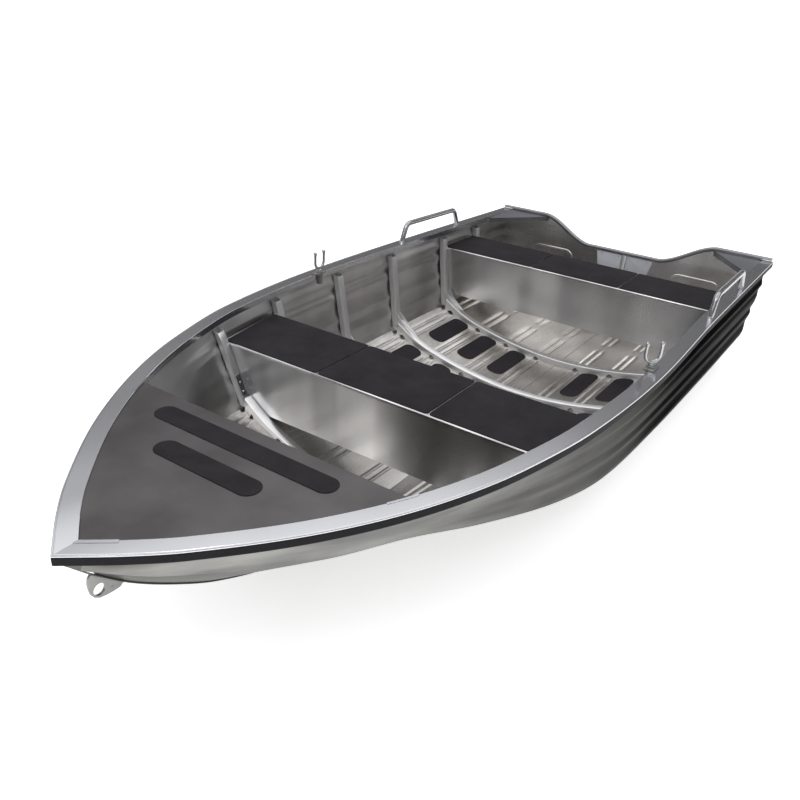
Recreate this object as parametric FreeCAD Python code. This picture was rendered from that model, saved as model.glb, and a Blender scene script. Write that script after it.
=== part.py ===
import FreeCAD, Part
import math
import os

from FreeCAD import Vector

# Pressed-aluminium rowing dinghy, in millimetres.
# +Z is up from the ground the boat stands on, the bow points to -Y and +X is the port side.
# A station is the distance aft of the tip of the bow.

# Overall sizes
length = 3700.0
half_beam = 820.0
hull_depth = 607.0
aft_overhang = 4.4
station_of_origin = (length + aft_overhang) / 2

# Sheet and running gaps
sheet = 2.0
seat_gap = 0.3
pin_clearance = 0.05

# Sheer line: share of the length, share of the half beam, share of the hull depth
SHEER_LINE = (
    (0.0, 0.0, 0.926),
    (0.027, 0.154, 0.931),
    (0.054, 0.284, 0.934),
    (0.108, 0.494, 0.944),
    (0.162, 0.657, 0.954),
    (0.216, 0.780, 0.967),
    (0.270, 0.867, 0.979),
    (0.351, 0.951, 0.995),
    (0.486, 0.999, 1.0),
    (0.676, 0.987, 0.997),
    (1.0, 0.974, 0.9555),
)

# Chine line: share of the length, share of the half beam, share of the hull depth
CHINE_LINE = (
    (0.016, 0.015, 0.802),
    (0.054, 0.122, 0.695),
    (0.108, 0.268, 0.618),
    (0.162, 0.402, 0.560),
    (0.227, 0.537, 0.527),
    (0.293, 0.671, 0.463),
    (0.384, 0.793, 0.361),
    (0.472, 0.854, 0.288),
    (0.595, 0.884, 0.280),
    (0.784, 0.896, 0.269),
    (1.0, 0.900, 0.260),
)

# Stem and keel line of the skin: share of the length, share of the hull depth
KEEL_LINE = (
    (0.0, 0.900),
    (0.0084, 0.852),
    (0.0243, 0.748),
    (0.0551, 0.578),
    (0.0959, 0.404),
    (0.1311, 0.280),
    (0.1857, 0.140),
    (0.2432, 0.069),
    (0.3108, 0.036),
    (0.4054, 0.0255),
    (0.6, 0.0247),
    (1.0, 0.0247),
)

# Pressed steps of the side: share of the way up, offset out of the chord
SIDE_STEPS = (
    (0.0, 0.0),
    (0.07, 4.5),
    (0.21, -1.0),
    (0.32, 7.0),
    (0.40, 1.0),
    (0.49, 8.5),
    (0.56, 9.0),
    (0.65, 3.0),
    (0.71, 12.5),
    (0.80, 1.0),
    (0.88, 3.0),
    (1.0, 0.0),
)

# Bottom panels: how the section rounds from a straight vee forward to a soft arc aft
vee_share = 0.31
arc_share = 0.595
arc_power = 1.9

# Pressed flutes of the bottom, spaced at the full breadth and closing up forward with it
flute_full_share = 0.73
flute_first = 115.0
flute_from_edge = 67.0
flute_count = 4
flute_half_width = 30.0
flute_floor_half = 19.0
flute_depth = 5.0
flute_middle_depth = 1.5
flute_start = 700.0
flute_fade = 500.0

# Gunwale extrusion, fender band and what they cover
gunwale_width = 58.0
gunwale_flange = 4.0
gunwale_web_inset = 20.0
gunwale_web_depth = 30.0
fender_depth = 22.0
fender_inset = 8.0
fender_proud = 2.0
side_inset = 22.5
side_top_gap = 1.0

# Shares of the length at which the hull's skins and rails have a section
BOW_SHARES = (0.0, 0.0054, 0.0108)
SKIN_SHARES = (0.0162, 0.027, 0.0405, 0.0568, 0.0784, 0.1054, 0.1405, 0.1838, 0.2324, 0.2838,
               0.3378, 0.4054, 0.4865, 0.5946, 0.7162, 0.8514, 0.9459)
SKIN_STATIONS = [length * share for share in SKIN_SHARES]
bow_reach = 80.0

# Keel bar and bilge runners
keel_width = 24.0
keel_bar_depth = 14.0
keel_front_station = 20.0
keel_heel = 30.0
runner_half_spacing = 206.0
runner_width = 24.0
runner_front_station = 1450.0
runner_from_stern = 160.0
runner_nose = 160.0
runner_lip = 4.0
RUNNER_SHARES = (0.0, 0.4, 0.5, 0.6, 0.7)

# Stem casting
stem_front_station = 22.0
stem_front_half = 3.0
stem_top_gap = 2.0

# Foredeck and its black strips
deck_aft_station = 695.0
deck_thickness = 3.0
deck_setback = 45.0
deck_front_gap = 2.0
deck_side_gap = 0.6
STRIPS = ((571.0, 646.0, 350.0), (437.0, 514.0, 196.0))
strip_thickness = 2.0
strip_end_steps = 6

# Thwarts: front station, aft station, top below the sheer, bottom above the chine
front_thwart = (1216.0, 1558.0, 100.0, 25.0)
rear_thwart_front_from_stern = 756.0
rear_thwart_aft_from_stern = 440.0
rear_thwart = (length - rear_thwart_front_from_stern, length - rear_thwart_aft_from_stern, 98.5, 78.0)
thwart_edge_radius = 8.0
thwart_edge_steps = 3
pad_thickness = 2.5
pad_corner = 14.0
pad_corner_steps = 4
pad_margin = 8.0
pad_gap = 6.0
pad_split = 241.0

# Side ribs and floor frames: one pair against each face of a thwart, two pairs between the thwarts
MIDDLE_RIBS = (0.324, 0.640)
rib_width = 40.0
rib_depth = 28.0
rib_wall = 3.0
rib_top_drop = 42.0
rib_foot_rise = 12.0
frame_height = 30.0
frame_steps = 8
knee_rise = 62.0
knee_start = 0.72
limber_height = 14.0

# Black pads on the flats between the flutes of the floor
FLOOR_PAD_ROWS = 3
floor_pad_width = 96.0
floor_pad_front_margin = 120.0
floor_pad_aft_margin = 6.0
floor_pad_thickness = 2.0
floor_pad_corner = 40.0
floor_pad_corner_steps = 2
floor_pad_seat = 0.6

# Transom, raked aft at the top
rake = math.radians(8.0)
transom_sheet = 4.0
transom_rise = 9.0
cutout_depth = 125.0
cutout_half_bottom = 200.0
cutout_half_top = 520.0
capping_width = 24.0
capping_overhang = 5.5
capping_height = 9.0
cutout_steps = 12
transom_flange = 3.0

# Brace inside the transom, and the motor pads on both of its faces
brace_centre = 18.0
brace_width = 26.0
brace_depth = 12.0
brace_drop = 6.0
inner_pad = (154.0, 90.0, 10.0)
inner_pad_slant = 25.0
inner_pad_drop = 10.0
inner_pad_gap = 3.0
outer_pad = (330.0, 170.0, 10.0)
outer_pad_drop = 18.0

# Quarter knees
knee_plate_forward = 310.0
knee_plate_inward = 280.0
knee_plate_thickness = 3.0
knee_plate_drop = 1.0
knee_plate_gap = 1.0
knee_plate_lip = 22.0

# Bow eye plate, measured along and out of the stem
eye_thickness = 8.0
eye_seat = 1.4
eye_top_station = 90.0
eye_base = 117.0
eye_reach = 56.0
eye_shoulder_out = 42.0
eye_upper_shoulder = 23.0
eye_lower_shoulder = 87.0
eye_hole_radius = 17.0
eye_hole_along = 52.0
eye_hole_out = 33.0
eye_small_radius = 4.0
eye_small_along = 90.0
eye_small_out = 22.0

# Rowlocks and their sockets
rowlock_from_thwart = 304.0
rowlock_inset = 60.0
socket_radius = 15.0
socket_depth = 46.0
socket_plate = (62.0, 40.0, 5.0)
socket_plate_inward = 17.0
socket_plate_corner = 6.0
socket_collar = 8.0
socket_gap = 1.0
rowlock_pin_radius = 6.35
rowlock_pin_length = 52.0
rowlock_shoulder_radius = 11.0
rowlock_shoulder = 5.0
horn_radius = 29.0
horn_rod_radius = 6.0
horn_height = 70.0
horn_steps = 8
HORN_TIP = ((-9.0, 6.0), (-5.0, 8.0), (2.0, 8.0), (6.0, 6.0), (8.0, 3.0))
PORT_HEADING = -44.0
STARBOARD_HEADING = 0.0

# Grab handles
handle_front_from_stern = 1155.0
handle_aft_from_stern = 620.0
handle_inset = 26.0
handle_height = 86.0
handle_lean = 38.0
handle_rod_radius = 12.5
handle_bend = 40.0
handle_bend_steps = 5
handle_weld_width = 2.5
handle_weld_height = 4.0
rod_sides = 10

SIDES = (("port", 1.0), ("starboard", -1.0))


def along(line, column, share):
    """Smooth value of one column of a line table at a share of the length."""
    last = len(line) - 1
    row = 0
    while row < last - 1 and share > line[row + 1][0]:
        row += 1
    start = line[row]
    end = line[row + 1]
    span = end[0] - start[0]
    before = line[max(row - 1, 0)]
    after = line[min(row + 2, last)]
    slope_in = (end[column] - before[column]) / (end[0] - before[0])
    slope_out = (after[column] - start[column]) / (after[0] - start[0])
    t = (share - start[0]) / span
    if t < 0.0:
        return start[column] + slope_in * span * t
    square = t * t
    cube = square * t
    return ((2 * cube - 3 * square + 1) * start[column]
            + (cube - 2 * square + t) * span * slope_in
            + (3 * square - 2 * cube) * end[column]
            + (cube - square) * span * slope_out)


def sheer_half(station):
    return half_beam * along(SHEER_LINE, 1, station / length)


def sheer_height(station):
    return hull_depth * along(SHEER_LINE, 2, station / length)


def sheer_slope(station):
    step = 1.0
    return (sheer_half(station + step) - sheer_half(station - step)) / (2.0 * step)


def skin_slant(station):
    return math.hypot(1.0, sheer_slope(station))


def inset_half(station, inset):
    """Half breadth of the line that runs a given distance inside the sheer line."""
    return sheer_half(station) - inset * skin_slant(station)


def chine_half(station):
    return half_beam * along(CHINE_LINE, 1, station / length)


def chine_height(station):
    return hull_depth * along(CHINE_LINE, 2, station / length)


def keel_height(station):
    return hull_depth * along(KEEL_LINE, 1, station / length)


def side_top(station):
    return sheer_height(station) - gunwale_flange - side_top_gap


transom_top = sheer_height(length) + transom_rise
cutout_height = transom_top - cutout_depth
rowlock_station = front_thwart[1] + rowlock_from_thwart
rowlock_half_spacing = sheer_half(rowlock_station) - rowlock_inset


def y_of(station):
    return station - station_of_origin


def point(x, station, z):
    return Vector(x, y_of(station), z)


def transom_station(z, forward=0.0):
    """Station of the raked transom's aft face at a height, or of a plane ahead of it."""
    return length - (transom_top - z) * math.tan(rake) - forward / math.cos(rake)


def section_power(station):
    share = (station / length - vee_share) / (arc_share - vee_share)
    return 1.0 + (arc_power - 1.0) * min(max(share, 0.0), 1.0)


def bottom_height(station, x):
    """Height of the bottom skin's underside at a half breadth, without its flutes."""
    share = min(abs(x) / chine_half(station), 1.0)
    keel = keel_height(station)
    return keel + (chine_height(station) - keel) * share ** section_power(station)


def bottom_edge(station):
    """Half breadth where the bottom panel stops inside the side panel."""
    return chine_half(station) - sheet * skin_slant(station) - seat_gap


# Flutes are spaced evenly from the first to the last, which keeps its distance from the edge
flute_last = bottom_edge(length * flute_full_share) - flute_from_edge
flute_pitch = (flute_last - flute_first) / (flute_count - 1)


def flute_centre(number):
    return flute_first + flute_pitch * number


def breadth_share(station):
    """How much of its full breadth the bottom has at a station."""
    return bottom_edge(station) / bottom_edge(length * flute_full_share)


def flat_positions():
    """Half breadths, at full breadth, where the flats between the flutes begin and end."""
    positions = [0.0]
    for number in range(flute_count):
        centre = flute_centre(number)
        positions += [centre - flute_half_width, centre + flute_half_width]
    return positions


def underside_line(station, fluted=True):
    """Underside of the bottom panel from the keel to the chine."""
    share = breadth_share(station)
    fade = min(max((station - flute_start) / flute_fade, 0.0), 1.0)
    line = []
    for index, position in enumerate(flat_positions()):
        x = position * share
        line.append((x, bottom_height(station, x)))
        if fluted and index % 2 == 1:
            for offset, depth in ((-flute_floor_half, flute_depth), (0.0, flute_middle_depth),
                                  (flute_floor_half, flute_depth)):
                x = (position + flute_half_width + offset) * share
                line.append((x, bottom_height(station, x) - depth * fade))
    edge = bottom_edge(station)
    line.append((edge, bottom_height(station, edge)))
    return line


def bottom_rise(station):
    """Height that the sheet's thickness takes in the sloping bottom."""
    return sheet * math.hypot(1.0, (chine_height(station) - keel_height(station)) / chine_half(station))


def upper_line(station):
    """Flats of the bottom panel's upper side, with a straight bridge over each flute."""
    rise = bottom_rise(station)
    return [(x, z + rise) for x, z in underside_line(station, False)]


def flat_underside(station):
    return underside_line(station, False)


def side_line(station):
    """Outer face of the pressed side, chine to sheer."""
    low = chine_height(station)
    high = side_top(station)
    foot = chine_half(station)
    top = inset_half(station, side_inset)
    breadth = sheer_half(station) / half_beam
    line = []
    for share, offset in SIDE_STEPS:
        line.append((foot + (top - foot) * share + offset * breadth, low + (high - low) * share))
    return line


def inner_side_line(station):
    wall = sheet * skin_slant(station)
    return [(x - wall, z) for x, z in side_line(station)]


def blend(start, end, share):
    return (start[0] + (end[0] - start[0]) * share, start[1] + (end[1] - start[1]) * share)


def between(station):
    """Skin stations before and after a station, and its share of the way from one to the other."""
    stations = SKIN_STATIONS + [length]
    row = 0
    while row < len(stations) - 2 and station > stations[row + 1]:
        row += 1
    return stations[row], stations[row + 1], (station - stations[row]) / (stations[row + 1] - stations[row])


def rail_height(station):
    """Top of the rail, which runs straight between its stations."""
    before, after, share = between(station)
    return sheer_height(before) * (1.0 - share) + sheer_height(after) * share


def skin_line(line, station):
    """Section at any station of a skin whose facets join the sections at its own stations."""
    before, after, share = between(station)
    near = line(before)
    far = line(after)
    section = []
    for index in range(len(near) - 1):
        section.append(blend(near[index], far[index], share))
        section.append(blend(near[index], far[index + 1], share))
    section.append(blend(near[-1], far[-1], share))
    return section


def height_on(line, x):
    """Height of a section line at a half breadth."""
    for inside, outside in zip(line, line[1:]):
        if x <= outside[0]:
            return blend(inside, outside, (x - inside[0]) / (outside[0] - inside[0]))[1]
    return line[-1][1]


def half_on(line, z):
    """Half breadth of a rising section line at a height."""
    for low, high in zip(line, line[1:]):
        if z <= high[1]:
            return blend(low, high, max(z - low[1], 0.0) / (high[1] - low[1]))[0]
    return line[-1][0]


def inner_half(station, z):
    """Clear half breadth inside the hull at a height."""
    side = skin_line(inner_side_line, station)
    if z >= side[0][1]:
        return half_on(side, z)
    return half_on(skin_line(upper_line, station), z)


def straight_edge(station, low, high):
    """Half breadths at two heights of a straight edge that just clears the hull between them."""
    lower = inner_half(station, low)
    upper = inner_half(station, high)
    excess = 0.0
    for x, z in skin_line(inner_side_line, station):
        if low < z < high:
            chord = lower + (upper - lower) * (z - low) / (high - low)
            excess = max(excess, chord - x)
    return lower - excess - seat_gap, upper - excess - seat_gap


def polygon(points):
    return Part.makePolygon(points + [points[0]])


def facets(near, near_next, far_next, far):
    """Two flat triangles of a skin, split from the near low corner to the far high one."""
    if near.x + near.z < near_next.x + near_next.z:
        corners = ((near, near_next, far_next), (near, far_next, far))
    else:
        corners = ((near, near_next, far), (near_next, far_next, far))
    return [Part.Face(polygon(list(triangle))) for triangle in corners]


def skin(sections):
    """Closed solid of flat facets through sections with the same number of points."""
    faces = [Part.Face(polygon(sections[0])), Part.Face(polygon(sections[-1]))]
    for near, far in zip(sections, sections[1:]):
        for index in range(len(near)):
            after = (index + 1) % len(near)
            faces += facets(near[index], near[after], far[after], far[index])
    shell = Part.Shell(faces)
    if Part.Solid(shell).Volume < 0.0:
        shell.reverse()
    return Part.Solid(shell)


def prism(points, vector):
    return Part.Face(polygon(points)).extrude(vector)


def mirrored(shape):
    return shape.mirror(Vector(0, 0, 0), Vector(1, 0, 0))


def rounded(corners, radius, steps):
    """Outline with every corner rounded by short straight runs along an arc."""
    outline = []
    for index, corner in enumerate(corners):
        back = corners[index - 1] - corner
        ahead = corners[(index + 1) % len(corners)] - corner
        back.normalize()
        ahead.normalize()
        half_turn = back.getAngle(ahead) / 2.0
        middle_way = back + ahead
        middle_way.normalize()
        centre = corner + middle_way * (radius / math.sin(half_turn))
        start = corner + back * (radius / math.tan(half_turn)) - centre
        end = corner + ahead * (radius / math.tan(half_turn)) - centre
        turn = start.getAngle(end)
        for step in range(steps + 1):
            share = step / steps
            outline.append(centre + start * (math.sin((1.0 - share) * turn) / math.sin(turn))
                           + end * (math.sin(share * turn) / math.sin(turn)))
    return outline


def bent_rod(path, side):
    """Round rod through (centre, direction, radius) steps of a path that is square to one side vector."""
    sections = []
    for centre, direction, radius in path:
        other = direction.cross(side)
        ring = []
        for number in range(rod_sides):
            turn = 2.0 * math.pi * number / rod_sides
            ring.append(centre + side * (radius * math.cos(turn)) + other * (radius * math.sin(turn)))
        sections.append(ring)
    return skin(sections)


def placed(x, station, z):
    """Point of a skin section; the last section lies on the transom's front face."""
    if station == length:
        return point(x, transom_station(z, transom_sheet + seat_gap), z)
    return point(x, station, z)


def side_panel():
    sections = []
    for station in SKIN_STATIONS + [length]:
        outer = [placed(x, station, z) for x, z in side_line(station)]
        inner = [placed(x, station, z) for x, z in inner_side_line(station)]
        sections.append(outer + inner[::-1])
    return skin(sections)


def bottom_panel():
    sections = []
    for station in SKIN_STATIONS[1:] + [length]:
        rise = bottom_rise(station)
        line = underside_line(station)
        outer = [placed(x, station, z) for x, z in line]
        inner = [placed(x, station, z + rise) for x, z in line]
        sections.append(outer + inner[::-1])
    return skin(sections)


def rail_frames():
    """Position and outward normal along the sheer line, from past the centre line at the bow."""
    frames = []
    for station in [length * share for share in BOW_SHARES] + SKIN_STATIONS + [length]:
        normal = Vector(1.0, -sheer_slope(max(station, 1.0)), 0.0)
        normal.normalize()
        frames.append((point(sheer_half(station), station, sheer_height(station)), normal))
    first, normal = frames[0]
    back = Vector(normal.y, -normal.x, 0.0)
    return [(first + back * bow_reach, normal)] + frames


def rail(profile):
    """Extrusion of an (inset, drop) profile along the sheer line of one side, cut at the centre plane."""
    sections = []
    for origin, normal in rail_frames():
        sections.append([origin - normal * inset - Vector(0, 0, drop) for inset, drop in profile])
    keep = Part.makeBox(half_beam * 2, length * 2, hull_depth * 2, point(0, -length / 2, -hull_depth / 2))
    return skin(sections).common(keep)


def gunwale():
    profile = [
        (0.0, 0.0),
        (0.0, gunwale_flange),
        (fender_inset, gunwale_flange),
        (fender_inset, gunwale_web_depth),
        (gunwale_web_inset, gunwale_web_depth),
        (gunwale_web_inset, gunwale_flange),
        (gunwale_width, gunwale_flange),
        (gunwale_width, 0.0),
    ]
    reach = socket_radius + socket_gap
    notch = Part.makeBox(gunwale_width, reach * 2, hull_depth * 2,
                         point(rowlock_half_spacing + reach - gunwale_width, rowlock_station - reach, 0))
    return rail(profile).cut(notch)


def fender():
    top = gunwale_flange + seat_gap
    profile = [
        (-fender_proud, top),
        (-fender_proud, top + fender_depth),
        (fender_inset - seat_gap, top + fender_depth),
        (fender_inset - seat_gap, top),
    ]
    return rail(profile)


def keel_bar():
    stations = [keel_front_station] + SKIN_STATIONS
    top = []
    foot = []
    for station in stations:
        step = 1.0
        slope = (keel_height(station + step) - keel_height(station - step)) / (2.0 * step)
        tangent = Vector(0, 1.0, slope)
        tangent.normalize()
        down = Vector(0, tangent.z, -tangent.y)
        base = point(0, station, keel_height(station) - seat_gap)
        low = base + down * keel_bar_depth
        top.append(base)
        foot.append(Vector(0, low.y, max(low.z, 0.0)))
    aft = transom_station(keel_height(length), transom_sheet + seat_gap)
    top.append(point(0, aft, keel_height(length) - seat_gap))
    foot.append(point(0, aft - keel_heel, 0.0))
    outline = top + foot[::-1]
    shift = Vector(-keel_width / 2, 0, 0)
    return prism([p + shift for p in outline], Vector(keel_width, 0, 0))


def bilge_runner():
    inner = runner_half_spacing - runner_width / 2
    outer = runner_half_spacing + runner_width / 2
    aft = length - runner_from_stern
    ends = [runner_front_station, runner_front_station + runner_nose, aft - runner_nose / 2, aft]
    middle = []
    for before, after in zip(SKIN_STATIONS, SKIN_STATIONS[1:]):
        middle += [before + (after - before) * share for share in RUNNER_SHARES]
    sections = []
    for station in sorted(ends + [place for place in middle if ends[0] < place < ends[-1]]):
        line = skin_line(flat_underside, station)
        inner_top = height_on(line, inner) - seat_gap
        outer_top = height_on(line, outer) - seat_gap
        foot = inner_top - runner_lip if station in (ends[0], ends[-1]) else 0.0
        sections.append([point(inner, station, foot), point(outer, station, foot),
                         point(outer, station, outer_top), point(inner, station, inner_top)])
    return skin(sections)


def stem_casting():
    """Solid nose between the rails and the keel bar, as wide as the side panels where it meets them."""
    aft = SKIN_STATIONS[0] - seat_gap
    sections = []
    for station in (stem_front_station, (stem_front_station + aft) / 2, aft):
        grow = (station - stem_front_station) / (aft - stem_front_station)
        foot = keel_height(station)
        top = sheer_height(station) - gunwale_web_depth - stem_top_gap
        rise = (top - chine_height(aft)) / (side_top(aft) - chine_height(aft))
        aft_half = chine_half(aft) + (inset_half(aft, side_inset) - chine_half(aft)) * rise
        foot_half = stem_front_half + (chine_half(aft) - stem_front_half) * grow
        top_half = stem_front_half + (aft_half - stem_front_half) * grow
        sections.append([point(-foot_half, station, foot), point(foot_half, station, foot),
                         point(top_half, station, top), point(-top_half, station, top)])
    return skin(sections)


def eye_direction():
    """Start of the eye plate on the stem, the way down the stem and the way out of it."""
    start = point(0, eye_top_station, keel_height(eye_top_station))
    lower_station = eye_top_station + eye_lower_shoulder
    way = point(0, lower_station, keel_height(lower_station)) - start
    way.normalize()
    return start, way, Vector(0, way.z, -way.y)


def bow_eye():
    start, way, out = eye_direction()
    across = Vector(eye_thickness, 0, 0)
    lift = keel_bar_depth + eye_seat

    def at(distance, reach):
        return start + way * distance + out * reach - across * 0.5

    edges = [
        Part.LineSegment(at(0, lift), at(eye_base, lift)).toShape(),
        Part.Arc(at(eye_base, lift), at(eye_lower_shoulder, eye_shoulder_out),
                 at(eye_hole_along, eye_reach)).toShape(),
        Part.Arc(at(eye_hole_along, eye_reach), at(eye_upper_shoulder, eye_shoulder_out),
                 at(0, lift)).toShape(),
    ]
    plate = Part.Face(Part.Wire(edges)).extrude(across)
    for radius, distance, reach in ((eye_hole_radius, eye_hole_along, eye_hole_out),
                                    (eye_small_radius, eye_small_along, eye_small_out)):
        plate = plate.cut(Part.makeCylinder(radius, eye_thickness * 3, at(distance, reach) - across, across))
    return plate


def deck_height(station):
    """Height of the deck plate, just under the gunwale flange that covers its edge."""
    return sheer_height(station - deck_setback) - gunwale_flange - seat_gap


def foredeck():
    stations = [SKIN_STATIONS[0] + deck_front_gap]
    stations += [station for station in SKIN_STATIONS[1:] if station < deck_aft_station]
    sections = []
    for station in stations + [deck_aft_station]:
        top = deck_height(station)
        low = top - deck_thickness
        low_half = inner_half(station, low) - deck_side_gap
        top_half = inner_half(station, top) - deck_side_gap
        sections.append([point(-low_half, station, low), point(low_half, station, low),
                         point(top_half, station, top), point(-top_half, station, top)])
    return skin(sections)


def deck_strip(front, aft, half):
    """Strip with round ends, laid on the sloping deck."""
    rise = deck_height(aft) - deck_height(front)
    radius = (aft - front) / 2
    middle = (aft + front) / 2
    outline = []
    for side in (1.0, -1.0):
        for step in range(strip_end_steps + 1):
            turn = math.pi * (step / strip_end_steps - 0.5)
            outline.append(Vector(side * (half - radius + radius * math.cos(turn)), side * radius * math.sin(turn), 0))
    strip = prism(outline, Vector(0, 0, strip_thickness))
    strip.rotate(Vector(0, 0, 0), Vector(1, 0, 0), math.degrees(math.atan2(rise, aft - front)))
    lift = max(deck_height(middle), (deck_height(front) + deck_height(aft)) / 2) + seat_gap
    strip.translate(point(0, middle, lift))
    return strip


def foredeck_strips():
    return Part.makeCompound([deck_strip(*strip) for strip in STRIPS])


def thwart_heights(sizes):
    """Heights of a thwart's bottom and top."""
    front, aft, drop, rise = sizes
    middle = (front + aft) / 2
    return chine_height(middle) + rise, sheer_height(middle) - drop


def thwart(sizes):
    """Closed box seat between the sides, with rounded upper edges."""
    front, aft = sizes[:2]
    low, top = thwart_heights(sizes)
    sections = []
    for station in (front, aft):
        lower, upper = straight_edge(station, low, top)
        sections.append([point(-upper, station, top), point(upper, station, top),
                         point(lower, station, low), point(-lower, station, low)])
    radius = thwart_edge_radius
    left = -half_beam
    profile = [point(left, front, low), point(left, aft, low)]
    for centre, first in ((aft - radius, 0.0), (front + radius, 0.5)):
        for step in range(thwart_edge_steps + 1):
            turn = math.pi * (first + 0.5 * step / thwart_edge_steps)
            profile.append(point(left, centre + radius * math.cos(turn), top - radius + radius * math.sin(turn)))
    return skin(sections).common(prism(profile, Vector(half_beam * 2, 0, 0)))


def thwart_pads(sizes):
    front, aft = sizes[:2]
    low, top = thwart_heights(sizes)
    base = top + seat_gap
    start = front + pad_margin
    stop = aft - pad_margin
    start_half = straight_edge(front, low, top)[1] - pad_margin
    stop_half = straight_edge(aft, low, top)[1] - pad_margin
    cut = pad_split - pad_gap / 2
    far = pad_split + pad_gap / 2
    middle = [point(-cut, start, base), point(cut, start, base), point(cut, stop, base), point(-cut, stop, base)]
    port = [point(far, start, base), point(start_half, start, base),
            point(stop_half, stop, base), point(far, stop, base)]
    pads = []
    for corners in (middle, port):
        pads.append(prism(rounded(corners, pad_corner, pad_corner_steps), Vector(0, 0, pad_thickness)))
    pads.append(mirrored(pads[1]))
    return Part.makeCompound(pads)


def rib_stations():
    """One rib against each face of both thwarts, and two between the thwarts."""
    reach = rib_width / 2 + seat_gap
    first = front_thwart[1] + reach
    last = rear_thwart[0] - reach
    between = [first + (last - first) * share for share in MIDDLE_RIBS]
    return [front_thwart[0] - reach, first] + between + [last, rear_thwart[1] + reach]


def rib_back(station):
    """Foot and head (half breadth, height) of the back of a side rib, against the side."""
    low = skin_line(inner_side_line, station)[0][1] + rib_foot_rise
    high = sheer_height(station) - rib_top_drop
    lower, upper = straight_edge(station, low, high)
    return (lower, low), (upper, high)


def rib(station):
    """Open channel against the side, from the chine knee to below the gunwale."""
    body = []
    hollow = []
    for offset in (-rib_width / 2, rib_width / 2):
        place = station + offset
        (foot_x, foot_z), (head_x, head_z) = rib_back(place)
        body.append([point(foot_x, place, foot_z), point(head_x, place, head_z),
                     point(head_x - rib_depth, place, head_z), point(foot_x - rib_depth, place, foot_z)])
        inside = station + offset * (1.0 - 2.0 * rib_wall / rib_width)
        spare = rib_wall
        web = rib_depth - rib_wall
        hollow.append([point(foot_x + spare, inside, foot_z - spare), point(head_x + spare, inside, head_z + spare),
                       point(head_x - web, inside, head_z + spare), point(foot_x - web, inside, foot_z - spare)])
    return skin(body).cut(skin(hollow))


def side_ribs():
    return Part.makeCompound([rib(station) for station in rib_stations()])


def frame_end(station):
    """Half breadth at which a floor frame meets the foot of its side rib."""
    return rib_back(station)[0][0] - rib_depth - seat_gap


def frame_foot(station, count):
    """Lower edge of a floor frame: on the flats of the floor, with a limber hole over each flute."""
    last_x = frame_end(station)
    foot = []
    for index, (x, z) in enumerate(skin_line(upper_line, station)[:count]):
        over_flute = index % 4 == 3
        foot.append((x, z + (limber_height if over_flute else seat_gap)))
    foot.append((last_x, height_on(skin_line(upper_line, station), last_x) + seat_gap))
    return foot


def floor_frame(station):
    """Arched floor frame on the bottom skin, with knees that rise to the side ribs."""
    reach = frame_end(station) - rib_depth
    count = len([x for x, z in skin_line(upper_line, station) if x < reach])
    sections = []
    for offset in (-rib_width / 2, rib_width / 2):
        place = station + offset
        last_x = frame_end(place)
        foot = frame_foot(place, count)
        floor = skin_line(upper_line, place)
        head = []
        for step in range(frame_steps + 1):
            x = last_x * step / frame_steps
            knee = max(step / frame_steps - knee_start, 0.0) / (1.0 - knee_start)
            head.append((x, height_on(floor, x) + frame_height + (knee_rise - frame_height) * knee * knee))
        low = [(-x, z) for x, z in foot[:0:-1]] + foot
        high = head[::-1] + [(-x, z) for x, z in head[1:]]
        sections.append([point(x, place, z) for x, z in low + high])
    return skin(sections)


def floor_frames():
    """Frames under the side ribs, apart from the last pair, which has none."""
    return Part.makeCompound([floor_frame(station) for station in rib_stations()[:-1]])


def floor_pad(flat, front, aft):
    """Pad on a flat of the floor, between two floor frames."""
    middle = flute_centre(flat) + flute_pitch / 2
    sides = (middle - floor_pad_width / 2, middle + floor_pad_width / 2)
    corners = [Vector(side * breadth_share(station), y_of(station), 0)
               for side, station in ((sides[0], front), (sides[1], front), (sides[1], aft), (sides[0], aft))]
    outline = prism(rounded(corners, floor_pad_corner, floor_pad_corner_steps), Vector(0, 0, hull_depth))
    sections = []
    for station in [front] + [station for station in SKIN_STATIONS if front < station < aft] + [aft]:
        floor = skin_line(upper_line, station)
        inner, outer = [side * breadth_share(station) for side in sides]
        inner_foot = height_on(floor, inner) + floor_pad_seat
        outer_foot = height_on(floor, outer) + floor_pad_seat
        sections.append([point(inner, station, inner_foot), point(outer, station, outer_foot),
                         point(outer, station, outer_foot + floor_pad_thickness),
                         point(inner, station, inner_foot + floor_pad_thickness)])
    return skin(sections).common(outline)


def floor_pads():
    stations = rib_stations()
    front_reach = rib_width / 2 + floor_pad_front_margin
    aft_reach = rib_width / 2 + floor_pad_aft_margin
    pads = []
    for front, aft in zip(stations[1:], stations[2:5]):
        for flat in range(FLOOR_PAD_ROWS):
            pad = floor_pad(flat, front + front_reach, aft - aft_reach)
            pads += [pad, mirrored(pad)]
    return Part.makeCompound(pads)


def transom_edge(x):
    """Height of the transom's top edge, low in the middle for a small motor."""
    share = (abs(x) - cutout_half_bottom) / (cutout_half_top - cutout_half_bottom)
    share = min(max(share, 0.0), 1.0)
    return cutout_height + (transom_top - cutout_height) * share * share * (3.0 - 2.0 * share)


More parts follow.
